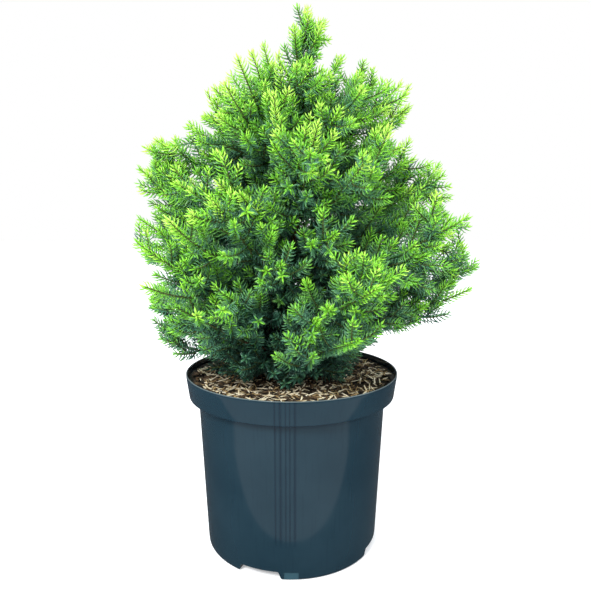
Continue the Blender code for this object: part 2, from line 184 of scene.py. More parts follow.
class Material:
    """A node material with one Principled shader, built by expressions."""

    def __init__(self, name: str) -> None:
        """Make the material and find its shader.

        Args:
            name: the material's name.
        """
        self.material = bpy.data.materials.new(name)
        self.material.use_nodes = True
        self.tree = self.material.node_tree
        self.shader = self.tree.nodes["Principled BSDF"]
        self.place = self.node("ShaderNodeTexCoord", {}, {}, "Object")

    def node(self, kind: str, settings: dict, sockets: dict, output: str | int = 0) -> Value:
        """Add a node, as add_node does, and return one of its outputs."""
        return Value(self.tree, add_node(self.tree, kind, settings, sockets).outputs[output])

    def stretched(self, scale: Sequence[float]) -> Value:
        """Object coordinates scaled unevenly, for a grain that runs one way."""
        return self.node("ShaderNodeMapping", {}, {"Vector": self.place, "Scale": scale})

    def noise(self, scale: float, detail: float = 3.0, vector: Value | None = None) -> Value:
        """A noise value of 0 to 1 on object coordinates.

        Args:
            scale: how fine the noise is, in features a metre.
            detail: number of finer layers.
            vector: other coordinates to use.

        Returns:
            The noise factor.
        """
        sockets = {"Vector": vector or self.place, "Scale": scale, "Detail": detail}
        return self.node("ShaderNodeTexNoise", {}, sockets, "Fac")

    def mix(self, mask: Value, first: "Value | tuple", second: "Value | tuple") -> Value:
        """Blend two colours by a mask."""
        return self.node("ShaderNodeMix", {"data_type": "RGBA"}, {0: mask, 6: first, 7: second}, 2)

    def feed(self, **inputs: "Value | float | tuple") -> None:
        """Set or link the shader's inputs, named with underscores for spaces."""
        for key, value in inputs.items():
            plug(self.tree, self.shader.inputs[key.replace("_", " ")], value)

    def relief(self, height: Value, depth: float, strength: float = 1.0) -> None:
        """Link a bump.

        Args:
            height: relief from 0 to 1.
            depth: what a height of one means, in metres.
            strength: how strongly the bump shows.
        """
        sockets = {"Height": height, "Distance": depth, "Strength": strength}
        self.feed(Normal=self.node("ShaderNodeBump", {}, sockets))


@dataclass(frozen=True)
class PotPlastic:
    """Glossy slate-blue moulded plastic with faint random streaks, dark painted reflection lines on the
    front, painted shade under the rim band, painted highlights in the foot panels and a pale lip of wear and
    painted highlight.
    """

    body: tuple = linear(20, 40, 50)
    pale: tuple = linear(27, 47, 57)
    # Dark of the random streaks, of the painted reflection lines and of the painted shade under the rim band.
    line: tuple = linear(5, 25, 38)
    # Pale top of the lip: partly wear, partly a painted highlight.
    lip: tuple = linear(128, 138, 138)
    # Painted highlight for the four recessed foot panels.
    panel: tuple = linear(50, 78, 88)
    # Place across the pot and half width of each dark painted reflection line on the front, in millimetres.
    painted_reflection_lines: tuple = ((-15.0, 1.5), (-10.0, 2.2), (-5.0, 1.1), (-1.2, 1.1), (3.6, 2.0))
    reflection_lines_foot: float = 0.034
    cloud_scale: float = 14.0
    streak_scale: tuple = (420.0, 420.0, 5.0)
    band_shade_drop: float = 0.0026
    band_shade_width: float = 0.0045
    panel_soft: float = 0.0005
    panel_drop: float = 0.0006
    pale_lip_depth: float = 0.0009
    pale_lip_soft: float = 0.0006

    def make(self, pot: "PotSizes") -> bpy.types.Material:
        """Build the material.

        Args:
            pot: sizes that place the lip, the painted shade under the rim band and the foot panels.

        Returns:
            The finished material.
        """
        m = Material("pot_plastic")
        split = ("ShaderNodeSeparateXYZ", {}, {"Vector": m.place})
        across, depth, height = (m.node(*split, axis) for axis in "XYZ")
        cloud = m.noise(self.cloud_scale, 4.0)
        streak = m.noise(1.0, 3.0, m.stretched(self.streak_scale))
        colour = m.mix(cloud.above(0.35, 0.4), self.body, self.pale)
        lines = streak.above(0.56, 0.2) * 0.25
        # Dark painted reflection lines, only on the front of the pot and from a little above the ground up.
        front = (depth * -1.0).above(0.05, 0.02) * height.above(self.reflection_lines_foot, 0.012)
        for place, half_width in self.painted_reflection_lines:
            lines = lines + across.near(place * MM, half_width * MM) * front * 0.8
        colour = m.mix(lines, colour, self.line)
        # Painted shade in the crease under the rim band.
        painted_band_shade = height.near(pot.band_foot - self.band_shade_drop, self.band_shade_width) * 0.95
        colour = m.mix(painted_band_shade, colour, self.line)
        # The four recessed foot panels painted lighter: a painted highlight.
        aside = across.math("ABSOLUTE", 0.0).math("MINIMUM", depth.math("ABSOLUTE", 0.0))
        within = 1.0 - aside.above(pot.panel_width / 2 - self.panel_soft, self.panel_soft)
        below = 1.0 - height.above(pot.arch_height - self.panel_drop, self.panel_soft)
        colour = m.mix(within * below * 0.8, colour, self.panel)
        # The top of the lip is paler, unevenly: partly wear, partly a painted highlight.
        lip_wear_and_painted_highlight = height.above(pot.height - self.pale_lip_depth, self.pale_lip_soft) * (0.3 + m.noise(60.0) * 0.5)
        colour = m.mix(lip_wear_and_painted_highlight, colour, self.lip)
        m.feed(Base_Color=colour, Roughness=0.12 + cloud.above(0.5, 0.3) * 0.03, Specular_IOR_Level=0.5)
        return m.material


@dataclass(frozen=True)
class LooseMatter:
    """Mulch in one of its kinds: crumbs, bark flakes, tan or cream fibres."""

    name: str
    dark: tuple
    light: tuple
    roughness: float = 0.85

    def make(self) -> bpy.types.Material:
        """Build the material.

        Returns:
            The finished material.
        """
        m = Material(self.name)
        patch = m.noise(170.0, 4.0)
        grain = m.noise(900.0, 2.0)
        colour = m.mix(patch.above(0.38, 0.26), self.dark, self.light)
        m.feed(Base_Color=colour, Roughness=self.roughness - grain * 0.15)
        m.relief(grain, 0.3 * MM, 0.6)
        return m.material


@dataclass(frozen=True)
class BarkFinish:
    """Red-brown bark with paler lengthwise fibres."""

    name: str
    dark: tuple
    light: tuple

    def make(self) -> bpy.types.Material:
        """Build the material.

        Returns:
            The finished material.
        """
        m = Material(self.name)
        fibre = m.noise(1.0, 5.0, m.stretched((900.0, 900.0, 120.0)))
        patch = m.noise(120.0, 3.0)
        colour = m.mix(fibre.above(0.35, 0.3), self.dark, self.light)
        colour = m.mix(patch.above(0.62, 0.2) * 0.5, colour, self.dark)
        m.feed(Base_Color=colour, Roughness=0.9 - fibre * 0.15)
        m.relief(fibre, 0.5 * MM, 0.8)
        return m.material


class Tint(Enum):
    """Needle colours from deep shade to the golden tips, as display colours."""

    SHADE = (30, 66, 52)
    DEEP = (60, 108, 86)
    SEA = (90, 146, 104)
    MID = (108, 168, 86)
    LEAF = (118, 194, 62)
    FRESH = (138, 216, 58)
    LIME = (164, 234, 70)
    GOLD = (194, 244, 96)

    @property
    def rank(self) -> int:
        """Place of the tint from dark to light."""
        return list(Tint).index(self)

    @property
    def slot(self) -> str:
        """The record's slot that stands for the tint.

        Returns:
            The slot's name.
        """
        if self.rank < 3:
            return "foliage_deep"
        return "foliage_mid" if self.rank < 5 else "foliage_gold"

    def make(self) -> bpy.types.Material:
        """Build the tint's material: a plain colour with a waxy sheen.

        Returns:
            The finished material.
        """
        m = Material("needle_" + self.name.lower())
        m.feed(Base_Color=linear(*self.value), Roughness=0.34, Specular_IOR_Level=0.7)
        return m.material


@dataclass(frozen=True)
class PotSizes:
    """Sizes of the pot, in metres."""

    height: float = 0.188
    rim_radius: float = 0.1125
    band_height: float = 0.0246
    band_taper: float = 0.0030
    step_height: float = 0.0030
    body_top_radius: float = 0.0998
    base_radius: float = 0.0918
    wall: float = 0.0016
    floor: float = 0.0025
    ring_radius: float = 0.0600
    ring_height: float = 0.0115
    arch_count: int = 4
    first_arch: float = math.radians(-110.5)
    arch_height: float = 0.0090
    arch_width: float = 0.0490
    arch_slant: float = 0.0045
    arch_inner: float = 0.0640
    arch_round: float = 0.0012
    panel_width: float = 0.0150
    panel_depth: float = 0.0010
    panel_slant: float = 0.0004
    lip_drop: float = 0.0040
    lip_inset: float = 0.0002
    band_round: float = 0.0011
    band_drop: float = 0.0002
    step_round: float = 0.0022
    foot_round: float = 0.0034

    @property
    def band_foot(self) -> float:
        """Height of the rim band's lower edge."""
        return self.height - self.band_height

    def body_radius(self, height: float) -> float:
        """Outer radius of the body at a height."""
        share = height / self.band_foot
        return self.base_radius + (self.body_top_radius - self.base_radius) * share


@dataclass
class Pot:
    """The turned pot with its rim band, lip, foot arches and panels."""

    sizes: PotSizes = field(default_factory=PotSizes)
    turn_steps: int = 180

    def profile(self) -> list[tuple[float, float]]:
        """Radius and height of the wall's section, from the floor's centre over the lip to the underside.

        Returns:
            The section's points in order.
        """
        s = self.sizes
        band = s.rim_radius - s.band_taper
        step_foot = s.band_foot - s.step_height
        points = [
            (0.0, s.floor),
            (s.ring_radius, s.floor),
            (s.ring_radius, s.ring_height),
            (s.body_radius(s.ring_height) - s.wall, s.ring_height),
            (s.body_radius(step_foot) - s.wall, step_foot),
            (band - s.wall, s.band_foot),
            (s.rim_radius - s.wall, s.height - s.wall / 2),
        ]
        lip_centre = (s.rim_radius - s.wall / 2, s.height - s.wall / 2)
        points += self.arc(lip_centre, s.wall / 2, 150.0, 10.0, 5)
        points += [(s.rim_radius - s.lip_inset, s.height - s.lip_drop)]
        band_centre = (band - s.band_round, s.band_foot + s.band_round - s.band_drop)
        points += self.arc(band_centre, s.band_round, -10.0, -80.0, 4)
        points += [(s.body_radius(s.band_foot) + 1.6 * MM, s.band_foot - 0.3 * MM)]
        step_centre = (s.body_radius(step_foot) + s.step_round, step_foot)
        points += self.arc(step_centre, s.step_round, 115.0, 180.0, 4)
        heights = [step_foot * share for share in (0.8, 0.6, 0.4, 0.2, 0.08)]
        points += [(s.body_radius(height), height) for height in heights]
        points += self.arc((s.base_radius - s.foot_round, s.foot_round), s.foot_round, -5.0, -85.0, 6)
        return points + [(0.0, 0.0)]

    @staticmethod
    def arc(centre: tuple, radius: float, first: float, last: float, steps: int) -> list[tuple[float, float]]:
        """Points on a round stretch of the section.

        Args:
            centre: centre as radius and height.
            radius: the stretch's own radius.
            first: first angle in degrees.
            last: last angle in degrees.
            steps: number of points.

        Returns:
            The points in order.
        """
        angles = np.radians(np.linspace(first, last, steps))
        return [(centre[0] + radius * math.cos(a), centre[1] + radius * math.sin(a)) for a in angles]

    def cutter(
        self, azimuth: float, inner: float, width: float, height: float, slant: float
    ) -> bpy.types.Object:
        """A block that cuts the foot.

        Args:
            azimuth: direction of the block from the pot's axis.
            inner: distance from the axis to the block's near side.
            width: width at the ground.
            height: height of the cut.
            slant: how far each end leans in at the top.

        Returns:
            The cutting object.
        """
        margin = 4.0 * MM
        depth = self.sizes.body_top_radius + margin - inner
        bm = bmesh.new()
        bmesh.ops.create_cube(bm, size=1.0)
        bmesh.ops.scale(bm, vec=(depth, width, height + margin), verts=bm.verts)
        for vertex in bm.verts:
            if vertex.co.z > 0:
                vertex.co.y -= math.copysign(slant, vertex.co.y)
        upper = [edge for edge in edges_along(bm, 0, depth / 2) if edge.verts[0].co.z > 0]
        rounding = {"offset": self.sizes.arch_round, "segments": 3, "profile": 0.5}
        bmesh.ops.bevel(bm, geom=upper, affect="EDGES", material=-1, **rounding)
        shift = (inner + depth / 2, 0.0, (height - margin) / 2)
        bmesh.ops.translate(bm, vec=shift, verts=bm.verts)
        bmesh.ops.rotate(bm, matrix=Matrix.Rotation(azimuth, 3, "Z"), verts=bm.verts)
        return object_of("cutter", bm)

    def build(self) -> bpy.types.Object:
        """Turn the wall, cut the foot and dress it.

        Returns:
            The finished pot.
        """
        s = self.sizes
        pot = object_of("nursery_pot", turned(self.profile(), self.turn_steps))
        for number in range(s.arch_count):
            azimuth = 2 * math.pi * number / s.arch_count
            arch_sizes = (s.arch_inner, s.arch_width, s.arch_height, s.arch_slant)
            arch = self.cutter(s.first_arch + azimuth, *arch_sizes)
            start = s.base_radius - s.panel_depth
            panel = self.cutter(azimuth, start, s.panel_width, s.arch_height, s.panel_slant)
            for block in (arch, panel):
                subtract(pot, block)
        smooth(pot, 34.0)
        pot.data.materials.append(PotPlastic().make(s))
        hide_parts("pot")
        return settle(pot, "pot_plastic")


def turned(section: Sequence[tuple[float, float]], steps: int) -> bmesh.types.BMesh:
    """Turn a section round the upright axis into a closed shape.

    Args:
        section: points of radius and height, from the axis back to the axis.
        steps: number of steps round.

    Returns:
        The shape, with outward normals.
    """
    bm = bmesh.new()
    corners = [bm.verts.new((radius, 0.0, height)) for radius, height in section]
    edges = [bm.edges.new(pair) for pair in zip(corners, corners[1:])]
    turn = {"axis": (0, 0, 1), "cent": (0, 0, 0), "angle": 2 * math.pi, "steps": steps}
    bmesh.ops.spin(bm, geom=corners + edges, use_merge=True, **turn)
    bmesh.ops.remove_doubles(bm, verts=bm.verts, dist=0.02 * MM)
    bmesh.ops.recalc_face_normals(bm, faces=bm.faces)
    return bm


def edges_along(bm: bmesh.types.BMesh, axis: int, least: float) -> list[bmesh.types.BMEdge]:
    """Edges that run further than a length along one axis."""
    return [edge for edge in bm.edges if abs(edge.verts[0].co[axis] - edge.verts[1].co[axis]) > least]


def ringed_cone(sides: int, top: float, cuts: int) -> bmesh.types.BMesh:
    """A cone of height one and foot radius one, with rings between its ends.

    Args:
        sides: number of sides.
        top: radius at the top.
        cuts: number of rings.

    Returns:
        The shape.
    """
    bm = bmesh.new()
    bmesh.ops.create_cone(bm, cap_ends=True, segments=sides, radius1=1.0, radius2=top, depth=1.0)
    bmesh.ops.translate(bm, vec=(0.0, 0.0, 0.5), verts=bm.verts)
    bmesh.ops.subdivide_edges(bm, edges=edges_along(bm, 2, 0.5), cuts=cuts)
    return bm


def object_of(name: str, bm: bmesh.types.BMesh) -> bpy.types.Object:
    """Make an object at the origin from a bmesh and free the bmesh.

    Args:
        name: the object's name.
        bm: its mesh.

    Returns:
        The object, linked to the scene.
    """
    mesh = bpy.data.meshes.new(name)
    bm.to_mesh(mesh)
    bm.free()
    made = bpy.data.objects.new(name, mesh)
    bpy.context.scene.collection.objects.link(made)
    return made


def subtract(target: bpy.types.Object, block: bpy.types.Object) -> None:
    """Cut a block out of a target for good and remove the block.

    Args:
        target: the object that is cut.
        block: the cutting object.
    """
    cut = target.modifiers.new("cut", "BOOLEAN")
    cut.operation = "DIFFERENCE"
    cut.solver = "EXACT"
    cut.object = block
    bpy.context.view_layer.update()
    graph = bpy.context.evaluated_depsgraph_get()
    old = target.data
    target.data = bpy.data.meshes.new_from_object(target.evaluated_get(graph))
    target.modifiers.clear()
    bpy.data.meshes.remove(old)
    bpy.data.objects.remove(block, do_unlink=True)


def smooth(target: bpy.types.Object, sharp_degrees: float) -> None:
    """Shade smooth, with creases sharper than an angle kept.

    Args:
        target: the object to shade.
        sharp_degrees: least angle that stays sharp.
    """
    target.data.shade_smooth()
    target.data.set_sharp_from_angle(angle=math.radians(sharp_degrees))


def settle(piece: bpy.types.Object, slot: str) -> bpy.types.Object:
    """Fix a piece to the plant's body.

    Args:
        piece: the finished piece.
        slot: the record's slot; not used.

    Returns:
        The same piece.
    """
    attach(piece, "root")
    LOG.info("%s: %d faces", piece.name, len(piece.data.polygons))
    return piece


def joined_mesh(name: str, points: np.ndarray, faces: np.ndarray) -> bpy.types.Object:
    """One object from arrays of points and of faces with the same number of corners.

    Args:
        name: the object's name.
        points: an array of n by 3.
        faces: an array of m by corners.

    Returns:
        The object, linked to the scene.
    """
    mesh = bpy.data.meshes.new(name)
    corners = faces.shape[1]
    mesh.vertices.add(len(points))
    mesh.vertices.foreach_set("co", np.ascontiguousarray(points, np.float32).ravel())
    mesh.loops.add(faces.size)
    mesh.loops.foreach_set("vertex_index", np.ascontiguousarray(faces, np.int32).ravel())
    mesh.polygons.add(len(faces))
    mesh.polygons.foreach_set("loop_start", np.arange(0, faces.size, corners, dtype=np.int32))
    mesh.update(calc_edges=True)
    mesh.validate()
    mesh.shade_smooth()
    made = bpy.data.objects.new(name, mesh)
    bpy.context.scene.collection.objects.link(made)
    return made


@dataclass(frozen=True)
class Template:
    """A small closed shape that is repeated many times: its points and its triangles."""

    points: np.ndarray
    faces: np.ndarray

    @classmethod
    def from_bmesh(cls, bm: bmesh.types.BMesh) -> "Template":
        """Read the arrays of a bmesh and free it.

        Args:
            bm: the shape.

        Returns:
            The template.
        """
        bmesh.ops.triangulate(bm, faces=bm.faces)
        bmesh.ops.recalc_face_normals(bm, faces=bm.faces)
        bm.verts.index_update()
        points = np.array([vertex.co[:] for vertex in bm.verts])
        faces = np.array([[vertex.index for vertex in face.verts] for face in bm.faces])
        bm.free()
        return cls(points, faces)

    @classmethod
    def needle(cls, sides: int, rings: tuple[float, float], foot_width: float) -> "Template":
        """A needle from height 0 to 1, pointed at both ends.

        Args:
            sides: number of sides.
            rings: heights of its lower and upper ring, of which the upper has a radius of one.
            foot_width: radius of the lower ring.

        Returns:
            The template.
        """
        low, high = rings
        bm = bmesh.new()
        size = {"segments": sides, "radius1": foot_width, "radius2": 1.0, "depth": high - low}
        bmesh.ops.create_cone(bm, cap_ends=True, **size)
        bmesh.ops.translate(bm, vec=(0.0, 0.0, (high + low) / 2), verts=bm.verts)
        for end, centre in ((-1.0, 0.0), (1.0, 1.0)):
            cap = [face for face in bm.faces if face.normal.z * end > 0.9]
            bmesh.ops.poke(bm, faces=cap)["verts"][0].co.z = centre
        return cls.from_bmesh(bm)

    def repeated(self, placed: np.ndarray) -> tuple[np.ndarray, np.ndarray]:
        """Points and faces of many placed copies.

        Args:
            placed: copies by points by 3.

        Returns:
            All points, and all faces that use them.
        """
        count = len(placed)
        shift = np.arange(count)[:, None, None] * len(self.points)
        return placed.reshape(-1, 3), (self.faces[None] + shift).reshape(-1, 3)


Rows = tuple[tuple[float, float, float], ...]


@dataclass(frozen=True)
class Tier:
    """A ring of limbs round the trunk."""

    name: str
    trunk_height: float
    tip_height: float
    tip_spread: float
    count: int
    azimuth: float
    bough_share: float


@dataclass(frozen=True)
class Stretch:
    """A straight run of a limb or twig, with the room that it takes all round."""

    owner: str
    start: Vector
    end: Vector
    reach: float

    def distance(self, other: "Stretch") -> float:
        """Least distance between the axes of this run and another.

        Args:
            other: the other run.

        Returns:
            The distance.
        """
        u, v = self.end - self.start, other.end - other.start
        between = self.start - other.start
        uu, uv, vv = u.dot(u), u.dot(v), v.dot(v)
        ub, vb = u.dot(between), v.dot(between)
        spread = uu * vv - uv * uv
        s = min(1.0, max(0.0, (uv * vb - vv * ub) / spread)) if spread > 1e-12 else 0.0
        t = (uv * s + vb) / vv
        if not 0.0 <= t <= 1.0:
            t = min(1.0, max(0.0, t))
            s = min(1.0, max(0.0, (uv * t - ub) / uu))
        return (between + u * s - v * t).length


@dataclass(frozen=True)
class Route:
    """A smooth curve through a start, a middle and an end."""

    start: Vector
    middle: Vector
    end: Vector

    def point(self, share: float) -> Vector:
        """Point at a share of the curve."""
        first = self.start * (2 * share - 1) * (share - 1)
        return first + self.middle * 4 * share * (1 - share) + self.end * share * (2 * share - 1)

    def direction(self, share: float) -> Vector:
        """Unit direction at a share of the curve."""
        step = 0.01
        return (self.point(share + step) - self.point(share - step)).normalized()

    @property
    def length(self) -> float:
        """Straight length from end to end."""
        return (self.end - self.start).length


@dataclass(frozen=True)
class TrunkSizes:
    """The trunk's course and thickness, in metres."""

    foot_height: float = 0.1790
    tip_height: float = 0.4760
    crown_top: float = 0.5550
    leader_offset: float = 0.0160
    bend: float = 0.0045
    foot_radius: float = 0.0064
    tip_radius: float = 0.0018
    flare: float = 0.0035
    flare_height: float = 0.0070

    def axis(self, height: float) -> Vector:
        """Centre of the trunk: it bends once and then leans to the leader.

        Args:
            height: height above the ground.

        Returns:
            The centre.
        """
        share = (height - self.foot_height) / (self.crown_top - self.foot_height)
        x = self.leader_offset * share ** 2 - self.bend * math.sin(math.pi * share)
        y = self.bend * 0.5 * math.sin(2 * math.pi * share) * share
        return Vector((x, y, height))

    def radius(self, height: float) -> float:
        """Radius of the trunk, with its root flare.

        Args:
            height: height above the ground.

        Returns:
            The radius.
        """
        share = (height - self.foot_height) / (self.tip_height - self.foot_height)
        flare = self.flare * math.exp(-(height - self.foot_height) / self.flare_height)
        return self.foot_radius + (self.tip_radius - self.foot_radius) * share ** 0.8 + flare


@dataclass(frozen=True)
class GrowthRule:
    """The seeded rule by which limbs and twigs grow, in metres and radians."""

    # Rows of height, reach to the left and reach to the right.
    outline: Rows = (
        (0.200, 0.095, 0.075),
        (0.228, 0.140, 0.100),
        (0.252, 0.154, 0.160),
        (0.276, 0.154, 0.184),
        (0.301, 0.150, 0.198),
        (0.330, 0.165, 0.184),
        (0.354, 0.162, 0.188),
        (0.380, 0.154, 0.166),
        (0.407, 0.153, 0.160),
        (0.431, 0.141, 0.118),
        (0.450, 0.096, 0.122),
        (0.483, 0.086, 0.116),
        (0.503, 0.036, 0.080),
        (0.530, 0.012, 0.045),
        (0.556, -0.010, 0.020),
    )
    tiers: tuple[Tier, ...] = (
        Tier("low", 0.1900, 0.230, 0.004, 4, 7.0, 0.46),
        Tier("skirt", 0.2060, 0.264, 0.012, 6, 172.0, 0.44),
        Tier("broad", 0.2340, 0.312, 0.014, 5, 2.0, 0.42),
        Tier("shoulder", 0.2700, 0.358, 0.010, 5, 176.0, 0.40),
        Tier("upper", 0.3120, 0.412, 0.014, 4, 8.0, 0.36),
        Tier("high", 0.3640, 0.466, -0.012, 4, -6.0, 0.0),
        Tier("top", 0.4240, 0.500, 0.006, 3, 20.0, 0.0),
    )
    node_gap: float = 0.0003
    limb_root_gap: float = 0.0005
    bough_collar: float = 0.0040
    bough_root_radius: float = 0.0027
    bough_tip_radius: float = 0.0017
    bough_points: int = 5
    rise_power: float = 1.25
    sway: float = 0.05
    needle_reach: float = 0.0105
    needle_margin: float = 0.0006
    bare_reach: float = 0.0030
    clearance: float = 0.0008
    outline_slack: float = 0.0040
    mix_unevenness: float = 0.0022
    stem_bare: float = 0.0100
    trunk_stem_bare: float = 0.0240
    twig_bare: float = 0.0060
    twig_tries: int = 12
    try_stride: int = 5
    twigs_per_mass: int = 5
    longest_twig: float = 0.0460
    shortest_twig: float = 0.0240
    twig_angle: float = math.radians(52.0)
    twig_angle_spread: float = math.radians(8.0)
    upturn: float = 0.10

    @property
    def foliage_reach(self) -> float:
        """Room that a needled twig takes all round."""
        return self.needle_reach + self.needle_margin

    def reach(self, height: float, azimuth: float) -> float:
        """Distance from the axis to the crown's outline, blended from its left to its right side.

        Args:
            height: height above the ground.
            azimuth: direction, from the right towards the back.

        Returns:
            The distance.
        """
        rows = list(zip(self.outline, self.outline[1:]))
        below, above = next((pair for pair in rows if height <= pair[1][0]), rows[-1])
        share = min(1.0, max(0.0, (height - below[0]) / (above[0] - below[0])))
        left = below[1] + (above[1] - below[1]) * share
        right = below[2] + (above[2] - below[2]) * share
        return left + (right - left) * 0.5 * (1 + math.cos(azimuth))


@dataclass
class Limb:
    """One bough and the stem that carries it on, from the trunk to the crown's outline."""

    rule: GrowthRule
    trunk: TrunkSizes
    tier: Tier
    number: int

    def __post_init__(self) -> None:
        """Draw the limb's own angles and find its ends."""
        rule, tier = self.rule, self.tier
        self.draw = random.Random(f"{SEED}-{tier.name}-{self.number}")
        self.name = f"{tier.name}_{self.number + 1}"
        turn = 2 * math.pi * self.number / tier.count
        azimuth = math.radians(tier.azimuth) + turn + self.draw.uniform(-0.06, 0.06)
        height = tier.trunk_height + self.draw.uniform(-0.003, 0.003)
        tip_height = tier.tip_height + tier.tip_spread * (1 if self.number % 2 else -1)
        outward = Vector((math.cos(azimuth), math.sin(azimuth), 0.0))
        self.outward = outward
        self.root = self.trunk.axis(height) + outward * (self.trunk.radius(height) + rule.limb_root_gap)
        reach = rule.reach(tip_height, azimuth) - self.root.xy.length
        self.run = outward * reach
        self.collar = rule.bough_collar / reach
        self.rise = tip_height - height
        self.side = outward.cross(UP) * reach * self.draw.uniform(-rule.sway, rule.sway)

    def point(self, share: float) -> Vector:
        """Point on the limb, which leaves the trunk level and then rises.

        Args:
            share: share of the limb's run.

        Returns:
            The point.
        """
        side = self.side * math.sin(math.pi * share) * share
        climb = max(0.0, (share - self.collar) / (1 - self.collar)) ** self.rule.rise_power
        return self.root + self.run * share + side + UP * (self.rise * climb)

    def stem(self) -> Route:
        """Course of the mass's stem.

        Returns:
            The route from the bough's tip, or from the trunk, to the outline.
        """
        begin = self.tier.bough_share
        if begin:
            step = 0.01
            along = (self.point(begin + step) - self.point(begin - step)).normalized()
            start = self.point(begin) + along * self.rule.node_gap
            return Route(start, self.point((1 + begin) / 2), self.point(1.0))
        level_start = self.root + self.run / 2 + UP * (self.rise / 4)
        return Route(self.root, level_start, self.point(1.0))

    def bough_nodes(self) -> list[Vector]:
        """Corners of the bough's course.

        Returns:
            The points from the trunk to the bough's tip.
        """
        share, count = self.tier.bough_share, self.rule.bough_points
        rest = [share * step / (count - 2) for step in range(1, count - 1)]
        return [self.point(place) for place in (0.0, self.collar, *rest)]


@dataclass
class Shoot:
    """A needled twig: its course, its bare foot, its core's radius and how bright its spray is."""

    route: Route
    bare: float
    thickness: float
    light: float = 0.5


@dataclass(frozen=True)
class SprayLight:
    """What makes a spray bright: how far out and how high it ends, and how steeply it rises."""

    base: float = 0.05
    outward: float = 0.75
    outward_start: float = 0.5
    height: float = 0.56
    lowest: float = 0.20
    rising: float = 0.18
    stray: float = 0.17
    shade_height: float = 0.275
    shade: float = 4.5
    darkest: float = -0.1

    def level(self, shoot: Shoot, reach: float, crown_top: float, stray: float) -> float:
        """Brightness of one spray, where one is a lit tip.

        Args:
            shoot: the spray.
            reach: distance from the axis to the crown's outline at its tip.
            crown_top: height of the crown's top.
            stray: the spray's own draw.

        Returns:
            The brightness.
        """
        tip = shoot.route.end
        out = tip.xy.length / max(0.02, reach)
        height = (tip.z - self.lowest) / (crown_top - self.lowest)
        light = self.outward * (out - self.outward_start) + self.height * height
        light += self.rising * shoot.route.direction(0.8).z + self.base + stray
        light -= self.shade * max(0.0, self.shade_height - tip.z)
        return min(1.0, max(self.darkest, light))


